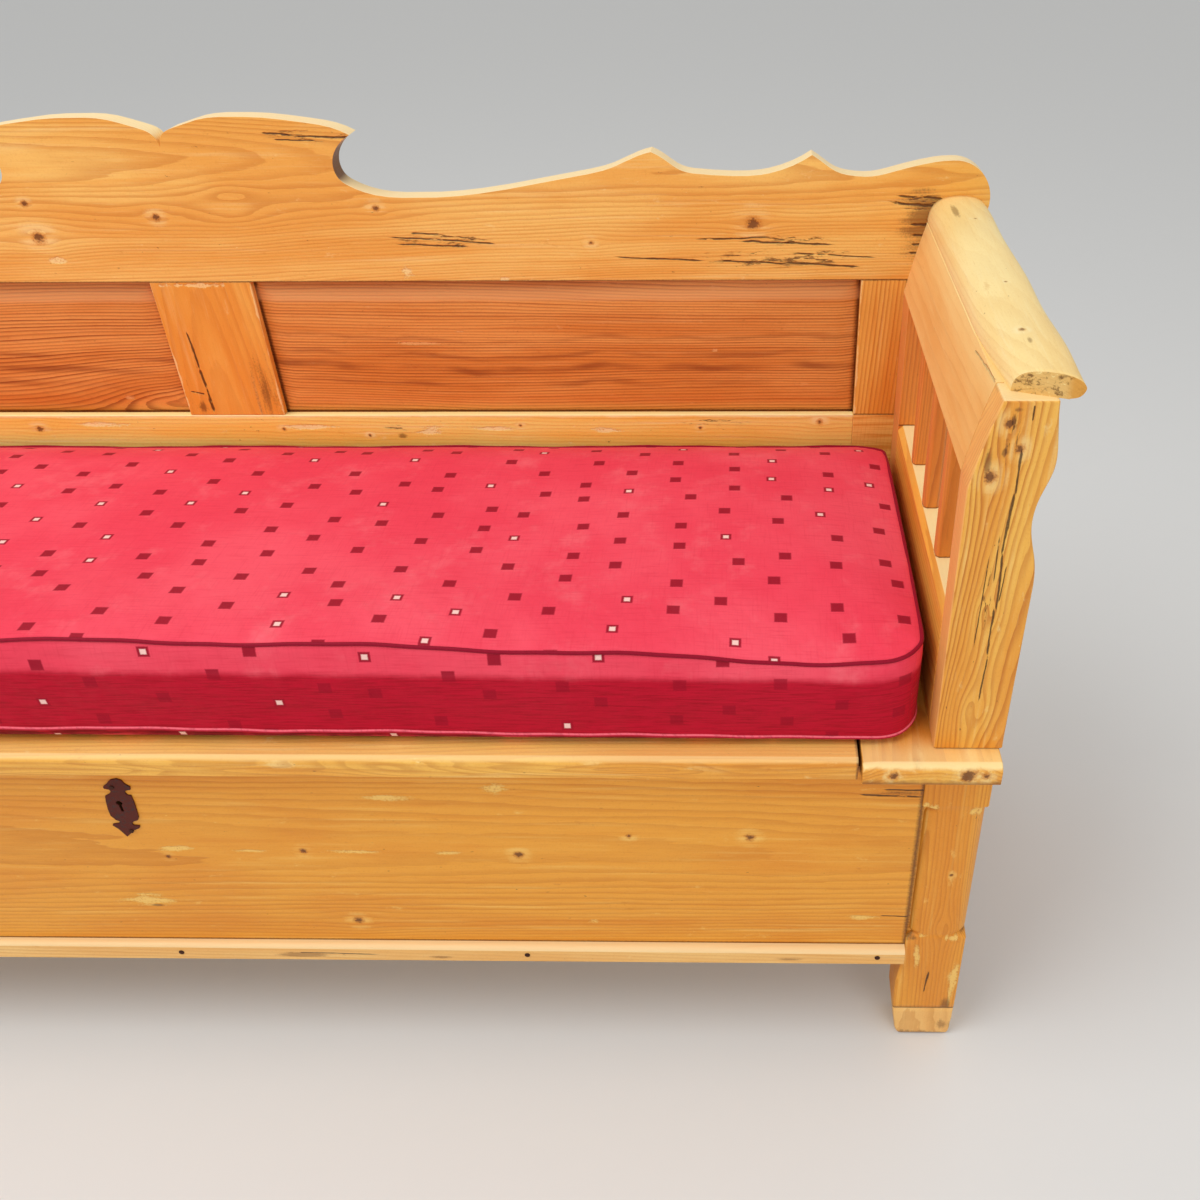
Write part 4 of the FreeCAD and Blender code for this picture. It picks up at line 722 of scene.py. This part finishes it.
def seat_front(finish, amount):
    """Pale wood on the rounded front arris and a patchy hand's breadth of the top behind it."""
    face = finish.facing()
    rounding = finish.step(face["z"] + finish.fine * 0.6, 0.30, 0.80) * finish.step(face["y"], -0.02, -0.2)
    top = finish.step(face["z"], 0.9, 0.99) * finish.step(finish.at["y"] + finish.fine * 30.0, -215.0, -255.0)
    finish.lay(rounding * amount, tint(255, 228, 160))
    finish.lay(top * 0.6 * amount, tint(255, 226, 160))


for side, sign in SIDES:
    node = f"seat_end_{side}"
    finish = old_pine(f"waxed_pine_seat_end_{side}", "yxz", heart=(sign * 830, 300), ring=4.0, seed=88.0 + sign,
                      lines=0.5, mottle=1.2, seams=[("x", sign * 762, 3.0)],
                      spots=[(-266, sign * 795, 461, 16, 6), (-266, sign * 867, 463, 16, 9),
                             (-266, sign * 884, 462, 16, 6), (-266, sign * 818, 474, 16, 5)])
    low_edge = finish.step(finish.at["z"] + finish.fine * 9.0, 458.0, 451.0)
    finish.lay(low_edge * finish.turned("y", -0.6, -0.9) * 0.7, tint(126, 66, 22))
    seat_front(finish, 0.9)
    eased(node, 0.002, finish, nose=lambda m: m.z > 0.4735 and m.y < -0.2640, nose_radius=0.009)
    eased(f"lid_batten_{side}", 0.002, old_pine(f"bare_pine_batten_{side}", "yxz", tones=BARE,
                                                heart=(sign * 560, 300), seed=91.0 + sign),
          body="lid")
lid_finish = old_pine(
    "waxed_pine_lid", "xyz", heart=(-60, 330), ring=4.2, tilt=0.01, warp=14.0, seed=94.0, lines=0.4, mottle=1.3,
    knots=[(-300, -60, 9), (430, 20, 7)], seams=[("x", 760, 2.5), ("x", -760, 2.5)],
    spots=[(192, -262, 467, 9, 3.5), (499, -262, 471, 8, 3), (616, -262, 465, 12, 4), (316, -262, 472, 6, 2.5),
           (-210, -262, 466, 10, 3.5), (-480, -262, 465, 8, 3)])
lid_face = lid_finish.facing()
lid_spot = lid_finish.vector(lid_finish.at["x"] * 0.10, 0.0, lid_finish.at["z"])
contours = (lid_finish.noise(lid_spot, 0.045, 1.0, 0.5, 5.0) * 13.0).maths("FRACT")
lid_finish.lay(lid_finish.step(contours, 0.35, 0.85) * lid_finish.step(contours, 1.0, 0.9)
               * lid_finish.step(lid_face["y"], -0.7, -0.9) * 0.38, tint(196, 122, 44))
seat_front(lid_finish, 0.45)
eased("lid", 0.002, lid_finish, body="lid", nose=lambda m: m.z > 0.4735 and m.y < -0.2585, nose_radius=0.0075)
eased("hinge_rail", 0.0015, old_pine("waxed_pine_hinge_rail", "xyz", heart=(150, 360), ring=5.0, seed=97.0))

# Iron and steel
# Hinges, screws, nails and the lock are plain iron and steel, dull with age. They stay as their CAD
# pieces and get a finish: mottled brown rust over grey metal.


def old_metal(name, clean, rust, share, rough, metallic=0.85):
    """Metal that has gone brown in patches: noise sets how far each spot has rusted."""
    f = Finish(name, metallic=metallic)
    at = f.place()
    spot = f.vector(at["x"], at["y"], at["z"])
    patch = f.step(f.noise(spot, 0.22, 5.0, 0.7, 3.0), 0.62 - share * 0.5, 0.78 - share * 0.5)
    grit = f.noise(spot, 1.6, 3.0, 0.6, 8.0)
    colour = f.blend(patch, clean, rust)
    colour = f.blend(f.step(grit, 0.45, 0.75) * 0.4, colour, tuple(0.35 * c for c in rust))
    f.show(colour, patch * 0.25 + rough, patch * 0.4 + grit * 0.6, 0.0003, 0.6)
    return f


steel = old_metal("dull_steel", tint(150, 146, 140), tint(110, 74, 48), 0.35, 0.38)
nail_iron = old_metal("nail_iron", tint(70, 52, 42), tint(74, 38, 24), 0.7, 0.55, 0.5)
for node in ("hinge_pin_left", "hinge_pin_right", "hinge_leaf_rail_left", "hinge_leaf_rail_right",
             "hinge_leaf_lid_left", "hinge_leaf_lid_right", "rail_hinge_screws", "lid_hinge_screws",
             "lid_strike", "lock_case", "lock_bolt", "strip_nails", "keyhole_plate_pins"):
    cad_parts[node].data.materials.clear()
    metal = nail_iron if node in ("strip_nails", "keyhole_plate_pins") else steel
    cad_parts[node].data.materials.append(metal.material)

# The keyhole plate
# Cut from sheet iron with shears: a domed cap, horns at the four corners, a pointed tail. It is nailed
# over the keyhole and has gone nearly black.

PLATE_EDGE = [(1.6, 427.0), (8.0, 428.6), (12.3, 426.4), (14.0, 421.4), (18.6, 417.2), (17.6, 413.4), (12.2, 412.4),
              (10.4, 408.8), (12.4, 405.2), (15.6, 404.8), (15.6, 395.4), (14.6, 383.4), (13.4, 373.0),
              (11.3, 369.0), (6.4, 367.2), (3.4, 363.8), (4.2, 360.6), (10.6, 360.4), (9.4, 357.2), (2.7, 353.8),
              (-7.6, 344.4), (-10.8, 351.2), (-13.1, 355.8), (-17.6, 361.0), (-16.6, 362.6), (-9.8, 363.8),
              (-8.0, 367.2), (-11.6, 369.4), (-15.0, 375.6), (-14.6, 385.4), (-12.9, 396.6), (-11.2, 403.8),
              (-5.6, 407.2), (-3.0, 410.8), (-3.8, 413.6), (-8.8, 415.0), (-8.8, 417.4), (-4.2, 421.2),
              (-0.9, 424.8)]
KEY_HOLE = [(3.6 * math.cos(a), 394.0 + 3.6 * math.sin(a)) for a in np.linspace(-1.05, math.pi + 1.05, 15)]
KEY_HOLE += [(-1.7, 381.4), (1.7, 381.4)]
flat = bpy.data.curves.new("plate_outline", "CURVE")
flat.dimensions, flat.fill_mode = "2D", "BOTH"
for line in (PLATE_EDGE, KEY_HOLE):
    spline = flat.splines.new("POLY")
    spline.points.add(len(line) - 1)
    spline.points.foreach_set("co", np.array([(x / 1000.0, z / 1000.0, 0.0, 1.0) for x, z in line]).ravel())
    spline.use_cyclic_u = True
flat.extrude, flat.bevel_depth, flat.bevel_resolution = 0.0005, 0.0003, 2
blank = linked("plate_blank", flat)
bpy.context.view_layer.update()
plate_mesh = bpy.data.meshes.new_from_object(blank.evaluated_get(bpy.context.evaluated_depsgraph_get()))
bpy.data.objects.remove(blank)
plate_mesh.transform(Matrix.Translation((0.0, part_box("keyhole_plate")[1][1] - 0.0008, 0.0))
                     @ Matrix.Rotation(math.pi / 2, 4, "X"))
plate_iron = old_metal("plate_iron", tint(58, 30, 24), tint(96, 34, 22), 0.55, 0.50, 0.35)
plate_mesh.materials.clear()
plate_mesh.materials.append(plate_iron.material)
keyhole_plate = linked("keyhole_plate_sheared", plate_mesh)
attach(keyhole_plate, "root")
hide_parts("keyhole_plate")

# The cushion
# One long box cushion: foam in a red jacquard cover with scattered squares, piped along the seams of
# its top and bottom panels. It is blown up gently by a cloth simulation and lies loose on the seat.

cushion_low, cushion_high = (np.array(corner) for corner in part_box("cushion"))
SWELL, LOW_SEAM, MOST_SWELL, FOOT_SPREAD = 0.004, 0.011, 0.024, 0.0085
FLAT_STOPS, PIPING_STOPS = 1600, 900


def red_cover(name):
    """The woven cover: scattered squares on a red ground, on whichever plane the cloth faces.

    The cloth is cut into cells of 55 by 51 mm, every second column shifted by half a cell. Each cell has
    one square, moved by chance: most are plain and dark, some are a dark frame round a cream centre.
    """
    f = Finish(name, specular=0.10, sheen=0.03)
    at, face = f.place(), f.facing()
    up = f.step(abs(face["z"]), 0.62, 0.66)
    side = f.step(abs(face["x"]), 0.72, 0.76) * (1.0 - up)
    u = at["x"] * (1.0 - side) + at["y"] * side
    v = at["y"] * up + at["z"] * (1.0 - up) + (1.0 - up) * 31.0
    column = (u / 55.0).maths("FLOOR")
    shifted = v + (column * 0.5).maths("FRACT") * 51.0
    row = (shifted / 51.0).maths("FLOOR")
    luck = f.chance(f.vector(column, row, up * 3.0 + 1.0))
    off_u = u - column * 55.0 - 27.5 - (luck[0] - 0.5) * 23.0
    off_v = shifted - row * 51.0 - 25.5 - (luck[1] - 0.5) * 20.0
    framed = f.step(luck[2], 0.77, 0.78)
    half = 6.3 - framed * 0.6
    spot = f.vector(at["x"], at["y"], at["z"])
    thread = f.noise(f.vector(u, v, 0.0), 1.1, 2.0, 0.6, 4.0) - 0.5
    reach = abs(off_u).maths("MAXIMUM", abs(off_v) * 1.06) + thread * 1.2
    square = f.step(reach - half, 0.9, -0.9)
    core = f.step(reach - 2.9, 0.8, -0.7) * framed
    weave = ((u * (math.pi / 0.55)).maths("SINE") * 0.5 + 0.5) * ((v * (math.pi / 0.7)).maths("SINE") * 0.5 + 0.5)
    slub = f.noise(f.vector(u * 0.05, v, 0.0), 0.60, 3.0, 0.6, 2.0)
    warp = f.noise(f.vector(u, v * 0.05, 0.0), 0.60, 3.0, 0.6, 12.0)
    cloud = f.noise(spot, 0.006, 3.0, 0.6, 5.0)
    fade = f.noise(spot, 0.018, 4.0, 0.68, 9.0)
    colour = f.blend(f.step(cloud, 0.35, 0.7), tint(238, 66, 88), tint(246, 86, 104))
    colour = f.blend(f.step(fade, 0.50, 0.78) * 0.45, colour, tint(250, 126, 134))
    colour = f.blend(f.step(slub, 0.48, 0.72) * 0.24, colour, tint(200, 26, 54))
    colour = f.blend(f.step(warp, 0.50, 0.72) * 0.18, colour, tint(208, 34, 60))
    # painted shade: the boxing is turned from the light, so below its upper third it is painted a deep red; only
    # its upper third is bright
    upright = f.step(abs(face["z"]), 0.62, 0.34)
    height_there = at["z"] + at["x"] * 0.0133 + (fade - 0.5) * 9.0
    lower = f.step(height_there, 570.0, 559.0)
    boxing_shade = upright * lower
    colour = f.blend(boxing_shade * 0.93, colour, f.blend(f.step(slub, 0.42, 0.66), tint(188, 2, 38), tint(164, 0, 28)))
    # painted shade: the cover below the lower seam, where it turns under towards the seat, is painted dark red
    under = f.step(at["z"] + at["x"] * 0.0125, 493.0, 489.5) * f.step(face["z"], 0.6, 0.3)
    colour = f.blend(under * f.step(slub + (fade - 0.5), 0.25, 0.60) * 0.9, colour, tint(112, 2, 20))
    colour = f.blend(square * (0.90 - boxing_shade * 0.35), colour, tint(148, 6, 34))
    colour = f.blend(core, colour, tint(250, 204, 194))
    rub = f.noise(spot, 0.028, 3.0, 0.55, 13.0)
    slant = f.vector(at["x"] + at["y"] * 0.6, at["y"] * 0.35 - at["x"] * 0.12, at["z"])
    fold = f.noise(slant, 0.036, 2.0, 0.50, 17.0)
    front = f.step(at["y"], -90.0, -210.0)
    height = weave * 0.10 + square * 0.16 + slub * 0.20 + fold * (front * 5.0 + 1.0) + rub * 2.4
    f.show(colour, slub * 0.12 + 0.62, height, 0.0011, 0.6)
    return f


def cord_cover(name):
    """The piping's bias strip: painted shade darkens it along the top seam, and a painted highlight makes the lower
    one bright where it faces up.
    """
    f = Finish(name, specular=0.12, sheen=0.03)
    at, face = f.place(), f.facing()
    twist = f.noise(f.vector(at["x"] + at["y"], at["y"], at["z"] * 0.4), 0.35, 3.0, 0.6, 4.0)
    lower = f.step(at["z"], 545.0, 525.0)
    colour = f.blend(lower, tint(146, 10, 40), tint(190, 26, 54))
    colour = f.blend(lower * f.step(face["z"], 0.20, 0.75) * 0.8, colour, tint(252, 120, 136))
    colour = f.blend(f.step(twist, 0.45, 0.70) * 0.35, colour, tint(130, 6, 28))
    f.show(colour, 0.55, twist * 0.8, 0.0005, 0.6)
    return f


def block_of_foam(shrink):
    """The cushion before it swells: a box with rounded upright corners, a little small all round."""
    low, high = cushion_low + shrink, cushion_high - shrink
    radius = 0.042
    turn = np.linspace(0.0, math.pi / 2, 9)
    centres = ((high[0] - radius, high[1] - radius, 0), (low[0] + radius, high[1] - radius, 1),
               (low[0] + radius, low[1] + radius, 2), (high[0] - radius, low[1] + radius, 3))
    ring = [(x + radius * math.cos(a + q * math.pi / 2), y + radius * math.sin(a + q * math.pi / 2))
            for x, y, q in centres for a in turn]
    made = bmesh.new()
    floor = [made.verts.new((x, y, low[2])) for x, y in ring]
    roof = [made.verts.new((x, y, high[2])) for x, y in ring]
    made.faces.new(list(reversed(floor)))
    made.faces.new(roof)
    for n in range(len(ring)):
        after = (n + 1) % len(ring)
        made.faces.new((floor[n], floor[after], roof[after], roof[n]))
    mesh = bpy.data.meshes.new("cushion_block")
    made.to_mesh(mesh)
    made.free()
    return mesh, np.array(ring)


def baked(piece):
    """The piece's mesh with its modifiers applied."""
    bpy.context.view_layer.update()
    return bpy.data.meshes.new_from_object(piece.evaluated_get(bpy.context.evaluated_depsgraph_get()))


def points_of(mesh):
    """All the mesh's points as an array."""
    flat = np.empty(len(mesh.vertices) * 3)
    mesh.vertices.foreach_get("co", flat)
    return flat.reshape(-1, 3)


block_mesh, seam_ring = block_of_foam(SWELL)
cushion = linked("cushion_cover", block_mesh)
remesh = cushion.modifiers.new("remesh", "REMESH")
remesh.mode = "VOXEL"
remesh.voxel_size = 0.009
cushion.data = baked(cushion)
cushion.modifiers.clear()
rest = points_of(cushion.data)
z_low, z_high = cushion_low[2] + SWELL, cushion_high[2] - SWELL
closed_ring = np.vstack([seam_ring, seam_ring[:1]])
ring_gaps = np.linalg.norm(np.diff(closed_ring, axis=0), axis=1)
ring_along = np.concatenate([[0.0], np.cumsum(ring_gaps)])


def ring_path(count):
    """Even stops along the rounded rectangle of the seams, as x and y."""
    stops = np.linspace(0.0, ring_along[-1], count, endpoint=False)
    return np.stack([np.interp(stops, ring_along, closed_ring[:, 0]),
                     np.interp(stops, ring_along, closed_ring[:, 1])], axis=1)


seam_tree = kdtree.KDTree(FLAT_STOPS)
for number, spot in enumerate(ring_path(FLAT_STOPS)):
    seam_tree.insert((spot[0], spot[1], 0.0), number)
seam_tree.balance()
flat_way = np.array([seam_tree.find((x, y, 0.0))[2] for x, y, _ in rest])
near_seam = np.minimum(np.hypot(flat_way, rest[:, 2] - z_high), np.hypot(flat_way, rest[:, 2] - z_low - LOW_SEAM))
held = cushion.vertex_groups.new(name="held")
weight = np.round(np.clip(1.0 - near_seam / 0.011, 0.0, 1.0), 2)
weight[rest[:, 2] < z_low + 0.002] = 1.0
for level in np.unique(weight):
    if level > 0:
        held.add([int(n) for n in np.nonzero(weight == level)[0]], float(level), "REPLACE")
cloth = cushion.modifiers.new("cloth", "CLOTH")
for key, setting in dict(quality=6, mass=0.3, tension_stiffness=12, compression_stiffness=6,
                         shear_stiffness=4, bending_stiffness=0.4, use_pressure=True,
                         uniform_pressure_force=4.0, vertex_group_mass="held").items():
    setattr(cloth.settings, key, setting)
cloth.settings.effector_weights.gravity = 0.0
cloth.collision_settings.use_collision = False
for number in range(1, 21):
    bpy.context.scene.frame_set(number)
swollen = points_of(baked(cushion))
cushion.modifiers.clear()
bpy.context.scene.frame_set(1)
move = swollen - rest
length = np.linalg.norm(move, axis=1, keepdims=True)
move *= np.minimum(1.0, MOST_SWELL / np.maximum(length, 1e-9)) * (1.0 - np.exp(-(near_seam / 0.012) ** 2))[:, None]
# the ends and the back stay clear of the arms and the frame
shaped = rest + move
shaped[:, 0] = np.clip(shaped[:, 0], -0.8318, 0.8318)
shaped[:, 1] = np.clip(shaped[:, 1], -0.2500, 0.2290)
shaped[:, 2] = np.maximum(shaped[:, 2] - 0.0036 * (rest[:, 2] < z_low + 0.004), cushion_low[2] + 0.0002)
LIFT_AT = (-0.83, -0.78, -0.60, -0.35, -0.043, 0.156, 0.348, 0.528, 0.720, 0.782, 0.83)
TOP_LIFT = (-0.010, -0.010, -0.001, 0.011, 0.016, 0.013, 0.008, 0.000, -0.012, -0.011, -0.010)
LOW_LIFT = (-0.006, -0.005, 0.001, 0.009, 0.006, 0.004, 0.001, -0.002, -0.004, -0.009, -0.010)


def slump(points):
    """Old foam has set: its front edge curls up left of the middle and sinks at the corners, and the back
    edge has sunk under backs. The upper seam moves by one table along x and the lower by another. The sole
    stays flat: below the lower seam the front spreads forward, and the other sides are drawn in by a
    quarter circle."""
    x, y = points[:, 0], points[:, 1]
    share = np.clip((points[:, 2] - z_low) / (z_high - z_low), 0.0, 1.1)
    forward = np.clip((cushion_low[1] + 0.16 - y) / 0.16, 0.0, 1.0) ** 1.5
    under = np.clip((cushion_low[1] + 0.05 - y) / 0.05, 0.0, 1.0)
    seam_share = LOW_SEAM / (z_high - z_low)
    around_seam = np.clip(share / seam_share, 0.0, 1.0) * np.clip((1.0 - share) / (1.0 - seam_share), 0.0, 1.0)
    behind = np.clip((y - cushion_high[1] + 0.085) / 0.085, 0.0, 1.0) ** 1.6
    middle = (cushion_low + cushion_high) / 2
    half = (cushion_high - cushion_low) / 2
    rim = 1.0 - np.sqrt(1.0 - np.clip(1.0 - share / seam_share, 0.0, 1.0) ** 2)
    lifted = points.copy()
    for axis in (0, 1):
        edge = np.clip((np.abs(points[:, axis] - middle[axis]) - half[axis] + 0.03) / 0.03, 0.0, 1.0)
        drawn = np.where((points[:, 1] < middle[1]) & (axis == 1), 0.0025, 0.007)
        lifted[:, axis] -= np.sign(points[:, axis] - middle[axis]) * drawn * rim * edge
    low_down = np.clip(1.0 - share / (2.4 * seam_share), 0.0, 1.0)
    foremost = np.clip((cushion_low[1] + 0.03 - y) / 0.03, 0.0, 1.0)
    lifted[:, 1] -= FOOT_SPREAD * low_down * foremost * np.interp(np.abs(x), (0.60, 0.80), (1.0, 0.25))
    lifted[:, 2] += share * forward * np.interp(x, LIFT_AT, TOP_LIFT)
    lifted[:, 2] += around_seam * under * np.interp(x, LIFT_AT, LOW_LIFT)
    lifted[:, 2] -= share * behind * 0.019
    lifted[:, 2] += 0.0013 * np.sin(x * 23.0 + 1.3) * share * (forward + 0.3)
    return lifted


shaped = slump(shaped)
cushion.data.vertices.foreach_set("co", shaped.ravel())
for polygon in cushion.data.polygons:
    polygon.use_smooth = True
smooth = cushion.modifiers.new("fine", "SUBSURF")
smooth.levels = smooth.render_levels = 1
cover_cloth = red_cover("red_jacquard")
cushion.data.materials.clear()
cushion.data.materials.append(cover_cloth.material)
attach(cushion, "cushion")
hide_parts("cushion")

# The piping of the cushion
# A cord sewn into each seam under a strip of the same cloth. It follows the seams of the swollen
# cover and wanders a little, as hand-fed piping does.

piping_cloth = cord_cover("red_piping")
cover = kdtree.KDTree(len(rest))
for number, spot in enumerate(rest):
    cover.insert(spot, number)
cover.balance()
skin = baked(cushion)
skin_tree = BVHTree.FromPolygons([tuple(p) for p in points_of(skin)], [tuple(p.vertices) for p in skin.polygons])
bpy.data.meshes.remove(skin)


def tube(path, radius, sides=10):
    """A closed cord: a circle carried along a closed path, its frame turned by the path's direction."""
    ahead = np.roll(path, -1, axis=0) - np.roll(path, 1, axis=0)
    ahead /= np.linalg.norm(ahead, axis=1, keepdims=True)
    out = np.cross(ahead, (0.0, 0.0, 1.0))
    out /= np.linalg.norm(out, axis=1, keepdims=True)
    up = np.cross(out, ahead)
    angle = np.linspace(0.0, 2 * math.pi, sides, endpoint=False)
    grid = path[:, None, :] + radius * (np.cos(angle)[None, :, None] * out[:, None, :]
                                        + np.sin(angle)[None, :, None] * up[:, None, :])
    place = np.arange(len(path) * sides).reshape(len(path), sides)
    right = np.roll(place, -1, axis=1)
    faces = np.stack([place, np.roll(place, -1, axis=0), np.roll(right, -1, axis=0), right], axis=-1)
    return grid, faces.reshape(-1, 4).tolist()


def seam_path(height, out):
    """The seam on the swollen cover: the block's own edge, moved as the cover's nearest points moved, then
    laid on the cover's nearest face."""
    path = np.concatenate([ring_path(PIPING_STOPS), np.full((PIPING_STOPS, 1), height)], axis=1)
    moved = []
    for spot in path:
        near = cover.find_n(spot, 10)
        moved.append(np.mean([shaped[n[1]] - rest[n[1]] for n in near], axis=0))
    moved = np.array(moved)
    moved = sum(np.roll(moved, shift, axis=0) for shift in (2, 1, 0, -1, -2)) / 5
    path += moved
    found = [skin_tree.find_nearest(Vector(spot)) for spot in path]
    path = np.array([spot + normal * out for spot, normal, _, _ in found])
    for turn in range(3):
        path = (np.roll(path, 1, axis=0) + path * 2 + np.roll(path, -1, axis=0)) / 4
    return path


for tag, height, out, radius in (("top", z_high, 0.0006, 0.0020), ("bottom", z_low + LOW_SEAM, 0.0006, 0.0019)):
    path = seam_path(height, out)
    stops = np.arange(PIPING_STOPS)
    path[:, 2] += 0.0006 * np.sin(stops * 0.11) + 0.0004 * np.sin(stops * 0.37)
    points, faces = tube(path, radius)
    points = points.reshape(-1, 3)
    points[:, 0] = np.clip(points[:, 0], -0.8338, 0.8338)
    points[:, 1] = np.clip(points[:, 1], -0.2515, 0.2308)
    points[:, 2] = np.maximum(points[:, 2], cushion_low[2] + 0.0001)
    piping = points_to_piece(f"cushion_piping_{tag}", points, faces, piping_cloth, "cushion")

# Floor, light and camera
# A plain pale floor, a soft sky from all sides and two large lamps. The camera stands where the
# photograph was taken from, worked out from the settle's own straight edges.

floor = bpy.data.meshes.new("floor")
floor.from_pydata([(-30, -30, 0), (30, -30, 0), (30, 30, 0), (-30, 30, 0)], [], [(0, 1, 2, 3)])
floor_paint = Finish("pale_floor")
floor_spot = floor_paint.place()
floor_grain = floor_paint.noise(floor_paint.vector(floor_spot["x"], floor_spot["y"], 0.0), 0.02, 3.0)
floor_paint.show(floor_paint.blend(floor_grain * 0.2, tint(228, 228, 226), tint(222, 222, 220)), 0.9)
floor.materials.append(floor_paint.material)
floor_piece = linked("floor", floor)

world = bpy.data.worlds.new("sky")
bpy.context.scene.world = world
world.use_nodes = True
world.node_tree.nodes["Background"].inputs["Color"].default_value = (1.0, 1.0, 1.0, 1.0)
world.node_tree.nodes["Background"].inputs["Strength"].default_value = 0.60
for name, place, size, power in (("lamp_above", (-1.2, -1.0, 3.6), 2.6, 66.0),
                                 ("lamp_front", (2.2, -3.2, 2.0), 2.2, 24.0)):
    light = bpy.data.lights.new(name, "AREA")
    light.shape, light.size, light.energy = "DISK", size, power
    lamp = linked(name, light)
    lamp.location = place
    lamp.rotation_euler = (Vector((0.0, 0.0, 0.5)) - Vector(place)).to_track_quat("-Z", "Y").to_euler()

# focal length and optical centre in the photograph's pixels, and the camera's three angles
PHOTO_WIDTH, FILM_WIDTH = 1200.0, 36.0
focal, centre_x, pitch, yaw, roll = 1106.865, 731.236, 0.6142, -0.0226, -0.0110
ahead = Vector((math.sin(yaw) * math.cos(pitch), math.cos(yaw) * math.cos(pitch), -math.sin(pitch)))
level = Vector((math.cos(yaw), -math.sin(yaw), 0.0))
above = level.cross(ahead)
right = math.cos(roll) * level + math.sin(roll) * above
up = -math.sin(roll) * level + math.cos(roll) * above
lens = bpy.data.cameras.new("camera")
lens.sensor_fit, lens.sensor_width = "HORIZONTAL", FILM_WIDTH
lens.lens = focal * FILM_WIDTH / PHOTO_WIDTH
lens.shift_x = (PHOTO_WIDTH / 2 - centre_x) / PHOTO_WIDTH
camera = linked("camera", lens)
turn = Matrix((right, up, -ahead)).transposed()
camera.matrix_world = Matrix.Translation(Vector((0.65611, -1.04881, 1.22285))) @ turn.to_4x4()
bpy.context.scene.camera = camera
bpy.context.scene.view_settings.view_transform = "Standard"
